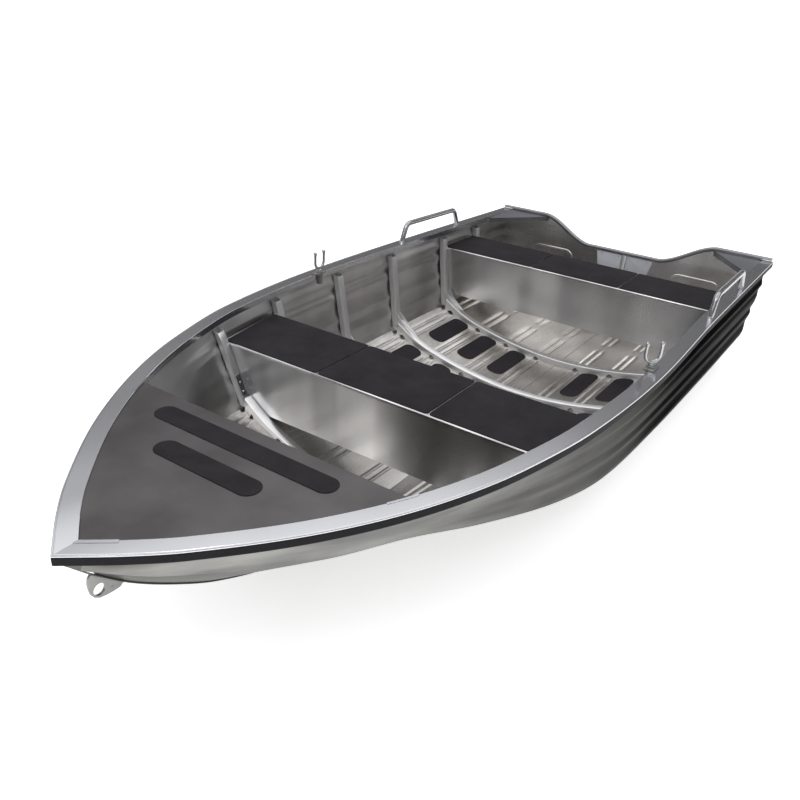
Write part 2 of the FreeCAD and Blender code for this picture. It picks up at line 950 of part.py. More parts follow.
def transom_outline():
    """Half outline (x, z): top edge from the middle outwards, then side and bottom."""
    corner = inset_half(length, gunwale_web_inset) - seat_gap
    shoulder = inset_half(length, gunwale_width) - seat_gap
    under_rail = sheer_height(length) - gunwale_flange - seat_gap
    top = []
    for step in range(cutout_steps + 1):
        x = cutout_half_bottom + (cutout_half_top - cutout_half_bottom) * step / cutout_steps
        top.append((x, transom_edge(x)))
    top.append((shoulder, transom_top))
    side = [(shoulder, under_rail), (corner, under_rail),
            (chine_half(length) + transom_flange, chine_height(length))]
    bottom = [(x, z - transom_flange / 2) for x, z in flat_underside(length)[::-1]]
    return top, side, bottom


def on_transom(x, z, forward=0.0):
    return point(x, transom_station(z, forward), z)


def through_transom(thickness):
    """Level vector that passes through a plate of the given thickness on the raked transom."""
    return Vector(0, thickness / math.cos(rake), 0)


def transom():
    top, side, bottom = transom_outline()
    half = top + side + bottom
    port = [on_transom(x, z, transom_sheet) for x, z in half]
    starboard = [on_transom(-x, z, transom_sheet) for x, z in half[-2::-1]]
    return prism(port + starboard, through_transom(transom_sheet))


def transom_capping():
    top = transom_outline()[0]
    half = top[:-1] + [(inset_half(length, fender_inset), transom_top)]
    whole = [(-x, z) for x, z in half[::-1]] + half
    forward = capping_width - capping_overhang
    low = [on_transom(x, z + seat_gap, forward) for x, z in whole]
    high = [on_transom(x, z + capping_height, forward) for x, z in whole]
    return prism(low + high[::-1], through_transom(capping_width))


def transom_brace():
    """Upright bar up the middle of the transom's front face, from the floor to the cut-out."""
    inner = brace_centre - brace_width / 2
    outer = brace_centre + brace_width / 2
    low = height_on(upper_line(length), outer) + seat_gap
    high = cutout_height - brace_drop
    forward = transom_sheet + seat_gap + brace_depth
    corners = [on_transom(inner, low, forward), on_transom(outer, low, forward),
               on_transom(outer, high, forward), on_transom(inner, high, forward)]
    return prism(corners, through_transom(brace_depth))


def inner_pads():
    """A clamp pad on each side of the brace, narrower at its foot."""
    width, height, thickness = inner_pad
    high = cutout_height - inner_pad_drop
    low = high - height
    forward = transom_sheet + seat_gap + thickness
    pads = []
    for side in (-1.0, 1.0):
        near = brace_centre + side * (brace_width / 2 + inner_pad_gap)
        far = near + side * width
        corners = [on_transom(near, low, forward), on_transom(far - side * inner_pad_slant, low, forward),
                   on_transom(far, high, forward), on_transom(near, high, forward)]
        pads.append(prism(corners, through_transom(thickness)))
    return Part.makeCompound(pads)


def outer_motor_pad():
    width, height, thickness = outer_pad
    high = cutout_height - outer_pad_drop
    low = high - height
    corners = [on_transom(-width / 2, low, -seat_gap), on_transom(width / 2, low, -seat_gap),
               on_transom(width / 2, high, -seat_gap), on_transom(-width / 2, high, -seat_gap)]
    return prism(corners, through_transom(thickness))


def quarter_knee():
    """Corner plate under the rail, between the side and the transom."""
    top = sheer_height(length) - gunwale_flange - seat_gap - knee_plate_drop
    aft = transom_station(top - knee_plate_thickness, transom_sheet + seat_gap)
    forward = length - knee_plate_forward
    spare = knee_plate_gap + seat_gap
    outer_aft = min(inner_half(aft, top), inner_half(aft, top - knee_plate_thickness)) - spare
    outer_forward = min(inner_half(forward, top), inner_half(forward, top - knee_plate_thickness)) - spare
    inner_aft = outer_aft - knee_plate_inward
    corners = [point(outer_aft, aft, top), point(outer_forward, forward, top),
               point(outer_forward - knee_plate_lip, forward, top),
               point(inner_aft, aft - knee_plate_lip, top), point(inner_aft, aft, top)]
    return prism(corners, Vector(0, 0, -knee_plate_thickness))


def rowlock_top():
    return rail_height(rowlock_station) + seat_gap + socket_plate[2] + socket_collar


def rowlock_socket():
    base = rail_height(rowlock_station) + seat_gap
    long_side, short_side, thickness = socket_plate
    centre = point(rowlock_half_spacing, rowlock_station, base)
    low = centre - Vector(socket_plate_inward, long_side / 2, 0)
    corners = [low, low + Vector(short_side, 0, 0), low + Vector(short_side, long_side, 0),
               low + Vector(0, long_side, 0)]
    plate = prism(rounded(corners, socket_plate_corner, 1), Vector(0, 0, thickness))
    body = Part.makeCylinder(socket_radius, socket_depth + thickness + socket_collar,
                             centre - Vector(0, 0, socket_depth))
    bore = Part.makeCylinder(rowlock_pin_radius + pin_clearance, hull_depth, centre - Vector(0, 0, hull_depth / 2))
    return plate.fuse(body).removeSplitter().cut(bore)


def horn_path(centre):
    """Steps down one horn, round the bottom of the U and up the other horn."""
    tip = horn_height + rowlock_shoulder + horn_rod_radius
    down = [(Vector(0, -horn_radius, tip + rise), Vector(0, 0, -1), radius) for rise, radius in HORN_TIP[::-1]]
    bend = []
    for step in range(horn_steps + 1):
        turn = math.pi * (1.0 + step / horn_steps)
        outward = Vector(0, math.cos(turn), math.sin(turn))
        bend.append((centre + outward * horn_radius, Vector(0, -outward.z, outward.y), horn_rod_radius))
    up = [(Vector(0, horn_radius, tip + rise), Vector(0, 0, 1), radius) for rise, radius in HORN_TIP]
    return down + bend + up


def rowlock(heading):
    """U-shaped horns on a pin, made about the pin's axis and then turned."""
    shoulder = Part.makeCylinder(rowlock_shoulder_radius, rowlock_shoulder, Vector(0, 0, seat_gap))
    pin = Part.makeCylinder(rowlock_pin_radius, rowlock_pin_length,
                            Vector(0, 0, seat_gap + rowlock_shoulder / 2 - rowlock_pin_length))
    centre = Vector(0, 0, rowlock_shoulder + horn_rod_radius + horn_radius)
    horns = bent_rod(horn_path(centre), Vector(1, 0, 0))
    solid = shoulder.multiFuse([pin, horns]).removeSplitter()
    solid.rotate(Vector(0, 0, 0), Vector(0, 0, 1), heading)
    return solid


def grab_handle():
    """Bent tube welded to the top of the rail, with its legs leaning in."""
    feet = []
    for station in (length - handle_front_from_stern, length - handle_aft_from_stern):
        feet.append(point(inset_half(station, handle_inset), station, rail_height(station) + seat_gap))
    up = Vector(0, 0, 1)
    way = feet[1] - feet[0]
    way.normalize()
    side = up.cross(way)
    side.normalize()
    heads = [feet[0] + up * handle_height + way * handle_lean, feet[1] + up * handle_height - way * handle_lean]
    corners = rounded([feet[0], heads[0], heads[1], feet[1]], handle_bend, handle_bend_steps)
    line = [feet[0]] + corners[handle_bend_steps + 1:3 * (handle_bend_steps + 1)] + [feet[1]]
    path = [(feet[0], up, handle_rod_radius)]
    for before, centre, after in zip(line, line[1:], line[2:]):
        direction = after - before
        direction.normalize()
        path.append((centre, direction, handle_rod_radius))
    path.append((feet[1], up * -1.0, handle_rod_radius))
    weld = handle_rod_radius + handle_weld_width
    welds = [bent_rod([(foot, up, weld), (foot + up * handle_weld_height, up, weld)], side) for foot in feet]
    return bent_rod(path, side).multiFuse(welds)


def both_sides(name, shape):
    return {name + "_port": shape, name + "_starboard": mirrored(shape)}


def sub_parts():
    shapes = {}
    shapes.update(both_sides("bottom_panel", bottom_panel()))
    shapes.update(both_sides("side_panel", side_panel()))
    shapes.update(both_sides("gunwale", gunwale()))
    shapes.update(both_sides("fender", fender()))
    shapes.update(both_sides("side_ribs", side_ribs()))
    shapes.update(both_sides("bilge_runner", bilge_runner()))
    shapes.update(both_sides("quarter_knee", quarter_knee()))
    shapes.update(both_sides("grab_handle", grab_handle()))
    shapes.update(both_sides("rowlock_socket", rowlock_socket()))
    shapes["keel_bar"] = keel_bar()
    shapes["stem_casting"] = stem_casting()
    shapes["bow_eye"] = bow_eye()
    shapes["foredeck"] = foredeck()
    shapes["foredeck_strips"] = foredeck_strips()
    shapes["front_thwart"] = thwart(front_thwart)
    shapes["front_thwart_pads"] = thwart_pads(front_thwart)
    shapes["rear_thwart"] = thwart(rear_thwart)
    shapes["rear_thwart_pads"] = thwart_pads(rear_thwart)
    shapes["floor_frames"] = floor_frames()
    shapes["floor_pads"] = floor_pads()
    shapes["transom"] = transom()
    shapes["transom_capping"] = transom_capping()
    shapes["transom_brace"] = transom_brace()
    shapes["transom_inner_pads"] = inner_pads()
    shapes["transom_outer_pad"] = outer_motor_pad()
    for side, sign in SIDES:
        lock = rowlock(PORT_HEADING if sign > 0 else STARBOARD_HEADING)
        lock.translate(point(sign * rowlock_half_spacing, rowlock_station, rowlock_top()))
        shapes["rowlock_" + side] = lock
    return shapes


os.makedirs("parts", exist_ok=True)
for name, shape in sub_parts().items():
    shape.exportStep("parts/" + name + ".step")
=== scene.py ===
import math
import random

import bmesh
import bpy
from mathutils import Matrix, Vector


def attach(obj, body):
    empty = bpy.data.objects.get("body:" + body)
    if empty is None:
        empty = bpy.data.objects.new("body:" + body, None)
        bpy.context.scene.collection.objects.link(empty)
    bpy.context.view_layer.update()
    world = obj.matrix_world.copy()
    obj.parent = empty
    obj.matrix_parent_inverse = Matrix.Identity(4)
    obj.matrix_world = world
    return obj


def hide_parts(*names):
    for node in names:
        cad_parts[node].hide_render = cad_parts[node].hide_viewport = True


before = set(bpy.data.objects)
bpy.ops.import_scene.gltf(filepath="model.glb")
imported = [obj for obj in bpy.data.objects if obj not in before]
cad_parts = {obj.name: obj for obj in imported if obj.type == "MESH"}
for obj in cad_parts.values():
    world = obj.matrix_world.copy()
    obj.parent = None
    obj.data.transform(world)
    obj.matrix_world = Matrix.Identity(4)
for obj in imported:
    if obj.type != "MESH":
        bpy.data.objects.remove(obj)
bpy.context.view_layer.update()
random.seed(7)

# Pressed-aluminium rowing dinghy, in metres: +Z up, bow towards -Y, +X the port side.
# A station is the distance aft of the tip of the bow.
LENGTH = 3.7
HALF_BEAM = 0.82
DEPTH = 0.607
ORIGIN_STATION = 1.8522
SHEET = 0.002
RAKE = math.radians(8.0)

# Share of the length, share of the half beam, share of the hull depth
SHEER_LINE = (
    (0.0, 0.0, 0.926), (0.027, 0.154, 0.931), (0.054, 0.284, 0.934), (0.108, 0.494, 0.944),
    (0.162, 0.657, 0.954), (0.216, 0.780, 0.967), (0.270, 0.867, 0.979), (0.351, 0.951, 0.995),
    (0.486, 0.999, 1.0), (0.676, 0.987, 0.997), (1.0, 0.974, 0.9555),
)
CHINE_LINE = (
    (0.016, 0.015, 0.802), (0.054, 0.122, 0.695), (0.108, 0.268, 0.618), (0.162, 0.402, 0.560),
    (0.227, 0.537, 0.527), (0.293, 0.671, 0.463), (0.384, 0.793, 0.361), (0.472, 0.854, 0.288),
    (0.595, 0.884, 0.280), (0.784, 0.896, 0.269), (1.0, 0.900, 0.260),
)
# Share of the length, share of the hull depth
KEEL_LINE = (
    (0.0, 0.900), (0.0084, 0.852), (0.0243, 0.748), (0.0551, 0.578), (0.0959, 0.404), (0.1311, 0.280),
    (0.1857, 0.140), (0.2432, 0.069), (0.3108, 0.036), (0.4054, 0.0255), (0.6, 0.0247), (1.0, 0.0247),
)
# Pressed steps of the side: share of the way up, offset out of the chord
SIDE_STEPS = (
    (0.0, 0.0), (0.07, 0.0045), (0.21, -0.001), (0.32, 0.007), (0.40, 0.001), (0.49, 0.0085),
    (0.56, 0.009), (0.65, 0.003), (0.71, 0.0125), (0.80, 0.001), (0.88, 0.003), (1.0, 0.0),
)
SWAGE_START = 0.75
SWAGE_FADE = 0.85
VEE_SHARE = 0.31
ARC_SHARE = 0.595
ARC_POWER = 1.9

# Rail and what it covers
RAIL_WIDTH = 0.058
RAIL_THICKNESS = 0.004
RAIL_WEB = (0.008, 0.020, 0.030)
FENDER_DEPTH = 0.022
FENDER_ROOT = 0.005
SIDE_INSET = 0.0225
SIDE_TOP_GAP = 0.001
SKIN_START = 0.060
BOTTOM_START = 0.102

# Flutes of the bottom
FLUTE_FULL_SHARE = 0.73
FLUTE_FIRST = 0.115
FLUTE_PITCH = 0.183
FLUTE_COUNT = 4
FLUTE_SPACING = 0.019
FLUTE_WIDTH = 0.0105
FLUTE_DEPTH = 0.0065
FLUTE_START = 0.700
FLUTE_FADE = 0.500
FLUTE_END = 0.045

# Inside structure
FRONT_THWART = (1.216, 1.558, 0.100, 0.025)
REAR_THWART = (2.944, 3.260, 0.0985, 0.078)
RIB_WIDTH = 0.040
RIB_DEPTH = 0.028
RIB_TOP_DROP = 0.042
RIB_FOOT_RISE = 0.012
MIDDLE_RIBS = (0.324, 0.640)
FRAME_HEIGHT = 0.030
KNEE_RISE = 0.062
KNEE_START = 0.72
GAP = 0.0003
PAD_MARGIN = 0.008
PAD_SPLIT = 0.241
PAD_GAP = 0.006
PAD_CORNER = 0.014
PAD_THICKNESS = 0.0025
PAD_SIDE_GAP = 0.003
THWART_BEND = 0.006
THWART_CLEARANCE = 0.0022
STRAP_WIDTH = 0.022
STRAP_THICKNESS = 0.0022
STRAP_MARGIN = 0.010
LIMBER_HALF = 0.015
LIMBER_RISE = 0.013
FRAME_FOOT = 0.03
GUSSET_RISE = 0.085
GUSSET_REACH = 0.105
GUSSET_SHEET = 0.003
FLOOR_PAD_HALF = 0.048
FLOOR_PAD_AHEAD = 0.120
FLOOR_PAD_AFT = 0.006
FLOOR_PAD_CORNER = 0.040
GRIP_SHEET = 0.002

# Deck
DECK_AFT = 0.695
DECK_SETBACK = 0.045
DECK_THICKNESS = 0.003
DECK_LIP = 0.022
DECK_JOINT = 0.085
STRIPS = ((0.571, 0.646, 0.350), (0.437, 0.514, 0.196))

# Transom
TRANSOM_SHEET = 0.004
TRANSOM_RISE = 0.009
CUTOUT_DEPTH = 0.125
CUTOUT_HALF_BOTTOM = 0.200
CUTOUT_HALF_TOP = 0.520
CAPPING_WIDTH = 0.024
CAPPING_OVERHANG = 0.0055
CAPPING_HEIGHT = 0.009
CAPPING_SKIRT = 0.012
BRACE_CENTRE = 0.018
BRACE_HALF = 0.013
BRACE_DEPTH = 0.012
CLAMP_WIDTH = 0.154
CLAMP_HEIGHT = 0.090
CLAMP_SLANT = 0.025
CLAMP_DROP = 0.010
CLAMP_GAP = 0.003
CLAMP_THICKNESS = 0.010
MOTOR_HALF = 0.165
MOTOR_HEIGHT = 0.170
MOTOR_DROP = 0.018
RIDGE_BOX = (0.300, 0.215, 0.570, 0.408)
RIDGE_CORNER = 0.045
RIDGE_HALF = 0.0055
RIDGE_LIFT = 0.0032
TRANSOM_CORNER = 0.0255
TRANSOM_FOOT = 0.003
EDGE_STRIP = 0.020
EDGE_GAP = 0.0002
CAPPING_WALL = 0.0025
CAPPING_END = 0.008
CAPPING_POWER = 0.7
CAPPING_PLAIN_END = 0.060
BRACE_TOP_GAP = 0.006
CLAMP_SCREW_INSET = 0.014
MOTOR_SCREW_INSET = 0.020

# Quarter knees
CORNER_START = LENGTH - 0.310
CORNER_ARM = 0.245
CORNER_LIP = 0.024
CORNER_SHEET = 0.003
CORNER_DROP = 0.0012
CORNER_OVERLAP = 0.001

# Radii of the weld beads
RIB_WELD = 0.0022
STERN_WELD = 0.0034
LUG_WELD = 0.0026

# Rowlocks
ROWLOCK_AFT = 0.304
ROWLOCK_INSET = 0.060
ROWLOCK_NOTCH = 0.020
BASE_THICKNESS = 0.005
COLLAR_RISE = 0.013
HORN_HALF = 0.029
HORN_CENTRE = 0.040
HORN_RADIUS = 0.006
HORN_TIP = 0.0785
HEADINGS = (("port", 1.0, -44.0), ("starboard", -1.0, 0.0))

# Bow lug and keel bar
LUG_STATIONS = (0.090, 0.177)
LUG_LIFT = 0.0035
LUG_EYE = (0.052, 0.033)
LUG_EYE_RADIUS = 0.017
LUG_HALF = 0.004
LUG_KNOTS = (
    (0.0, LUG_LIFT), (0.001, 0.016), (0.010, 0.030), (0.023, 0.042), (0.037, 0.0525), (0.052, 0.056),
    (0.068, 0.0535), (0.087, 0.042), (0.103, 0.029), (0.116, 0.016), (0.119, LUG_LIFT),
)
KEEL_HALF = (0.005, 0.012)
KEEL_DEPTH = (0.0025, 0.0143)
KEEL_GROW = (0.75, 0.55)

# Grab handles
HANDLE_STATIONS = (LENGTH - 1.155, LENGTH - 0.620)
HANDLE_INSET = 0.026
HANDLE_HEIGHT = 0.086
HANDLE_LEAN = 0.038
HANDLE_RADIUS = 0.0125
HANDLE_BEND = 0.040


def along(line, column, share):
    """Smooth value of one column of a line table at a share of the length."""
    last = len(line) - 1
    row = 0
    while row < last - 1 and share > line[row + 1][0]:
        row += 1
    start, end = line[row], line[row + 1]
    before, after = line[max(row - 1, 0)], line[min(row + 2, last)]
    span = end[0] - start[0]
    slope_in = (end[column] - before[column]) / (end[0] - before[0])
    slope_out = (after[column] - start[column]) / (after[0] - start[0])
    t = (share - start[0]) / span
    if t < 0.0:
        return start[column] + slope_in * span * t
    square = t * t
    cube = square * t
    return ((2 * cube - 3 * square + 1) * start[column] + (cube - 2 * square + t) * span * slope_in
            + (3 * square - 2 * cube) * end[column] + (cube - square) * span * slope_out)


def sheer_half(station):
    return HALF_BEAM * along(SHEER_LINE, 1, station / LENGTH)


def sheer_height(station):
    return DEPTH * along(SHEER_LINE, 2, station / LENGTH)


def slope_of(line, place, step=0.001):
    """How fast a line changes at a place."""
    return (line(place + step) - line(place - step)) / (2.0 * step)


def sheer_normal(station):
    """Way out of the sheer line in plan, towards +X."""
    return Vector((1.0, -slope_of(sheer_half, station), 0.0)).normalized()


def slant(station):
    return 1.0 / sheer_normal(station).x


def chine_half(station):
    return HALF_BEAM * along(CHINE_LINE, 1, station / LENGTH)


def chine_height(station):
    return DEPTH * along(CHINE_LINE, 2, station / LENGTH)


def keel_height(station):
    return DEPTH * along(KEEL_LINE, 1, station / LENGTH)


def side_top(station):
    return sheer_height(station) - RAIL_THICKNESS - SIDE_TOP_GAP


def at(x, station, z):
    return Vector((x, station - ORIGIN_STATION, z))


def smooth_step(share):
    share = min(max(share, 0.0), 1.0)
    return share * share * (3.0 - 2.0 * share)


def mix(start, end, share):
    return start + (end - start) * share


def steps(start, end, count):
    return [mix(start, end, number / count) for number in range(count + 1)]


transom_top = sheer_height(LENGTH) + TRANSOM_RISE
cutout_height = transom_top - CUTOUT_DEPTH
rowlock_station = FRONT_THWART[1] + ROWLOCK_AFT
rowlock_half = sheer_half(rowlock_station) - ROWLOCK_INSET


def transom_station(z, forward=0.0):
    return LENGTH - (transom_top - z) * math.tan(RAKE) - forward / math.cos(RAKE)


def placed(x, station, z):
    """Point of a skin; its last section lies on the transom's front face."""
    if station >= LENGTH:
        return at(x, transom_station(z, TRANSOM_SHEET + GAP), z)
    return at(x, station, z)


def swage(station, share):
    """Offset of the pressed side out of its chord: its steps die out towards the bow."""
    fade = smooth_step((station - SWAGE_START) / SWAGE_FADE) * sheer_half(station) / HALF_BEAM
    for start, end in zip(SIDE_STEPS, SIDE_STEPS[1:]):
        if share <= end[0]:
            way = (share - start[0]) / (end[0] - start[0])
            return fade * mix(start[1], end[1], mix(way, smooth_step(way), 0.5))
    return 0.0


def side_point(station, share, inside=0.0):
    low, high = chine_height(station), side_top(station)
    foot = chine_half(station)
    top = sheer_half(station) - SIDE_INSET * slant(station)
    x = mix(foot, top, share) + swage(station, share)
    return x - inside * slant(station), mix(low, high, share)


def side_half(station, z):
    """Inner half breadth of the side at a height above the chine."""
    share = (z - chine_height(station)) / (side_top(station) - chine_height(station))
    return side_point(station, min(max(share, 0.0), 1.0), SHEET)[0]


def bottom_height(station, x):
    """Underside of the bottom: a vee forward that turns into a shallow arc aft."""
    share = min(abs(x) / chine_half(station), 1.0)
    arched = min(max((station / LENGTH - VEE_SHARE) / (ARC_SHARE - VEE_SHARE), 0.0), 1.0)
    keel = keel_height(station)
    return keel + (chine_height(station) - keel) * share ** mix(1.0, ARC_POWER, arched)


def bottom_edge(station):
    return chine_half(station) - SHEET * slant(station) - GAP


def breadth_share(station):
    return bottom_edge(station) / bottom_edge(LENGTH * FLUTE_FULL_SHARE)


def bottom_rise(station):
    return SHEET * math.hypot(1.0, (chine_height(station) - keel_height(station)) / chine_half(station))


def floor_height(station, x):
    """Upper side of the bottom's flats."""
    return bottom_height(station, x) + bottom_rise(station)


def crossing(low, high, count, before):
    """Narrows low and high down to the place where a test stops holding."""
    for _ in range(count):
        middle = (low + high) / 2
        if before(middle):
            low = middle
        else:
            high = middle
    return low, high


def inner_half(station, z):
    """Inner half breadth of the boat at a height."""
    if z >= chine_height(station):
        return side_half(station, z)
    return crossing(0.0, bottom_edge(station), 30, lambda x: floor_height(station, x) < z)[0]


def rib_stations():
    reach = RIB_WIDTH / 2 + GAP
    first = FRONT_THWART[1] + reach
    last = REAR_THWART[0] - reach
    middle = [mix(first, last, share) for share in MIDDLE_RIBS]
    return [FRONT_THWART[0] - reach, first] + middle + [last, REAR_THWART[1] + reach]


def flute_fade(station):
    """How deep the flutes are: they end short of each floor frame and at the bow."""
    fade = smooth_step((station - FLUTE_START) / FLUTE_FADE)
    for place in rib_stations():
        fade *= smooth_step((abs(station - place) - RIB_WIDTH * 0.6) / FLUTE_END)
    return fade * smooth_step((LENGTH - 0.06 - station) / FLUTE_END)


def flat_centre(number):
    """Half breadth of a pair of flutes, or with a half number of the flat between two pairs."""
    return FLUTE_FIRST + FLUTE_PITCH * number


def flute_drop(station, x):
    """Depth of the paired flutes at a place."""
    drop = 0.0
    share = breadth_share(station)
    for number in range(FLUTE_COUNT):
        centre = flat_centre(number)
        for offset in (-FLUTE_SPACING, FLUTE_SPACING):
            distance = abs(x - (centre + offset) * share) / (FLUTE_WIDTH * share)
            if distance < 1.0:
                drop = max(drop, FLUTE_DEPTH * (1.0 - smooth_step(distance)))
    return drop


# Mesh making

def add_loft(mesh, sections, ring=True, caps=True, closed=False):
    """Skin through sections of equal length.

    Rings close round and caps close the ends; a closed loft joins its last section to its first.
    """
    rows = [[mesh.verts.new(place) for place in section] for section in sections]
    count = len(rows[0])
    for near, far in zip(rows, rows[1:] + (rows[:1] if closed else [])):
        for index in range(count if ring else count - 1):
            after = (index + 1) % count
            mesh.faces.new((near[index], near[after], far[after], far[index]))
    if ring and caps:
        mesh.faces.new(rows[0][::-1])
        mesh.faces.new(rows[-1])
    return rows


def add_shell(mesh, outer, inner):
    """Closed sheet between two grids of points; its inner side takes the second material."""
    over = add_loft(mesh, outer, False)
    under = add_loft(mesh, inner, False)
    last = len(outer[0]) - 1
    mesh.faces.ensure_lookup_table()
    for face in mesh.faces[-(len(outer) - 1) * last:]:
        face.material_index = 1
    for near, far, low_near, low_far in zip(over, over[1:], under, under[1:]):
        mesh.faces.new((near[0], far[0], low_far[0], low_near[0]))
        mesh.faces.new((near[last], low_near[last], low_far[last], far[last]))
    for top, low in ((over[0], under[0]), (over[-1], under[-1])):
        for index in range(last):
            mesh.faces.new((top[index], low[index], low[index + 1], top[index + 1]))


def add_prism(mesh, outline, vector):
    return add_loft(mesh, [outline, [place + vector for place in outline]])


def bend(before, corner, after, radius, count):
    """Arc that rounds one corner of a route."""
    back = (before - corner).normalized()
    ahead = (after - corner).normalized()
    half = back.angle(ahead) / 2.0
    centre = corner + (back + ahead).normalized() * (radius / math.sin(half))
    start = corner + back * (radius / math.tan(half)) - centre
    end = corner + ahead * (radius / math.tan(half)) - centre
    turn = start.angle(end)
    return [centre + start * (math.sin((1.0 - share) * turn) / math.sin(turn))
            + end * (math.sin(share * turn) / math.sin(turn)) for share in steps(0.0, 1.0, count)]


def rounded(corners, radius, count=6):
    """Closed outline with rounded corners, from 2D or 3D corners."""
    outline = []
    for index, corner in enumerate(corners):
        outline += bend(corners[index - 1], corner, corners[(index + 1) % len(corners)], radius, count)
    return outline


def shrunk(outline, inset):
    """2D outline moved inwards."""
    area = sum(a.x * b.y - b.x * a.y for a, b in zip(outline, outline[1:] + outline[:1]))
    turn = 1.0 if area > 0 else -1.0
    result = []
    for index, place in enumerate(outline):
        way = (outline[(index + 1) % len(outline)] - outline[index - 1]).normalized()
        result.append(place + Vector((-way.y, way.x)) * inset * turn)
    return result


def add_plate(mesh, outline, place, thickness, edge=0.0006):
    """Flat piece with softened upper edges: place(u, v, height) gives a point."""
    rings = [(0.0, 0.0), (0.0, thickness - edge), (edge * 0.3, thickness - edge * 0.3), (edge, thickness)]
    sections = []
    for inset, height in rings:
        sections.append([place(spot.x, spot.y, height) for spot in shrunk(outline, inset)])
    add_loft(mesh, sections)


def spokes(count):
    """Cosine and sine of even turns round a circle."""
    turns = steps(0.0, 2.0 * math.pi, count)[:-1]
    return [(math.cos(turn), math.sin(turn)) for turn in turns]


def circle(centre, side, other, radius, count):
    return [centre + (side * across + other * up) * radius for across, up in spokes(count)]


def box(left, low, right, high):
    """Corners of a flat rectangle, once round."""
    return [Vector(spot) for spot in ((left, low), (right, low), (right, high), (left, high))]


def add_rod(mesh, path, radius, sides=16):
    """Round rod along points; radius is a number or one for each point."""
    radii = radius if isinstance(radius, list) else [radius] * len(path)
    normal = None
    sections = []
    for index, place in enumerate(path):
        way = (path[min(index + 1, len(path) - 1)] - path[max(index - 1, 0)]).normalized()
        if normal is None:
            normal = way.orthogonal().normalized()
        normal = (normal - way * normal.dot(way)).normalized()
        sections.append(circle(place, normal, way.cross(normal), radii[index], sides))
    add_loft(mesh, sections)


def add_lathe(mesh, profile, centre, axis=Vector((0, 0, 1)), sides=24):
    """Turned form from (radius, height) points along an axis."""
    side = axis.orthogonal().normalized()
    other = axis.cross(side).normalized()
    add_loft(mesh, [circle(centre + axis * height, side, other, radius, sides)
                    for radius, height in profile])


def add_lathe_ring(mesh, profile, centre, sides=32):
    """Turned form with a hole through it: the profile closes on itself."""
    sections = []
    for across, up in spokes(sides):
        sections.append([centre + Vector((radius * across, radius * up, height))
                         for radius, height in profile])
    add_loft(mesh, sections, caps=False, closed=True)


def add_dome(mesh, centre, axis, radius, height, sides=12):
    """Round screw or rivet head."""
    profile = [(radius, -height * 0.3), (radius, 0.0)]
    for step in range(1, 4):
        turn = math.pi / 2 * step / 4
        profile.append((radius * math.cos(turn), height * math.sin(turn)))
    profile.append((radius * 0.15, height))
    add_lathe(mesh, profile, centre, axis, sides)


def add_bead(mesh, path, radius):
    """Weld bead: a rod whose surface ripples."""
    points = []
    radii = []
    for start, end in zip(path, path[1:]):
        count = max(int((end - start).length / 0.0022), 2)
        for number in range(count):
            points.append(start.lerp(end, number / count))
            radii.append(radius * random.uniform(0.75, 1.1))
    points.append(path[-1])
    radii.append(radius * 0.5)
    radii[0] = radius * 0.5
    add_rod(mesh, points, radii, 8)


def finished(name, mesh, material, slot, nodes=(), body="hull", bevel=0.0, angle=40.0, inside=()):
    """Makes the object, softens its sharp edges and ties it to its body."""
    bmesh.ops.recalc_face_normals(mesh, faces=mesh.faces)
    if bevel:
        sharp = [edge for edge in mesh.edges if len(edge.link_faces) == 2
                 and edge.calc_face_angle(0.0) > math.radians(angle)]
        bmesh.ops.bevel(mesh, geom=sharp, offset=bevel, segments=2, affect="EDGES", clamp_overlap=True)
    data = bpy.data.meshes.new(name)
    mesh.to_mesh(data)
    mesh.free()
    data.shade_smooth()
    data.set_sharp_from_angle(angle=math.radians(angle))
    for finish in (material, *inside):
        data.materials.append(finish)
    if not inside:
        for polygon in data.polygons:
            polygon.material_index = 0
    piece = bpy.data.objects.new(name, data)
    bpy.context.collection.objects.link(piece)
    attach(piece, body)
    if nodes:
        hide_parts(*nodes)


def mirrored(mesh):
    """Copy of a mesh on the starboard side."""
    other = mesh.copy()
    for vertex in other.verts:
        vertex.co.x = -vertex.co.x
    bmesh.ops.reverse_faces(other, faces=other.faces)
    return other


def both_sides(name, mesh, material, slot, node=None, **rest):
    """The same piece on both sides, each standing for its side's node."""
    pair = (("_port", mesh), ("_starboard", mirrored(mesh)))
    for side, half in pair:
        nodes = (node + side,) if node else ()
        finished(name + side, half, material, slot, nodes, **rest)


# Materials

# Where the side's painted shade towards the stern starts and ends, along Y
AFT_SHADE_START = -1.35
AFT_SHADE_END = 0.5


def shader(name, colour, roughness, metallic):
    material = bpy.data.materials.new(name)
    material.use_nodes = True
    tree = material.node_tree
    surface = tree.nodes["Principled BSDF"]
    surface.inputs["Base Color"].default_value = (*colour, 1.0)
    surface.inputs["Roughness"].default_value = roughness
    surface.inputs["Metallic"].default_value = metallic
    return material, tree, surface


def fill(tree, socket, value):
    """Links a socket, or sets it to a number, a colour or a vector."""
    if isinstance(value, bpy.types.NodeSocket):
        tree.links.new(value, socket)
    elif socket.type == "RGBA":
        socket.default_value = (*value, 1.0)
    else:
        socket.default_value = value


def node(tree, kind, **inputs):
    """New node with its inputs filled; in an input's name an underscore stands for a space."""
    made = tree.nodes.new("ShaderNode" + kind)
    for name, value in inputs.items():
        fill(tree, made.inputs[name.replace("_", " ")], value)
    return made


def noise(tree, scale, stretch=(1.0, 1.0, 1.0), detail=2.0, rough=0.5):
    place = node(tree, "TexCoord").outputs["Object"]
    mapped = node(tree, "Mapping", Vector=place, Scale=stretch).outputs["Vector"]
    return node(tree, "TexNoise", Vector=mapped, Scale=scale, Detail=detail, Roughness=rough).outputs["Fac"]


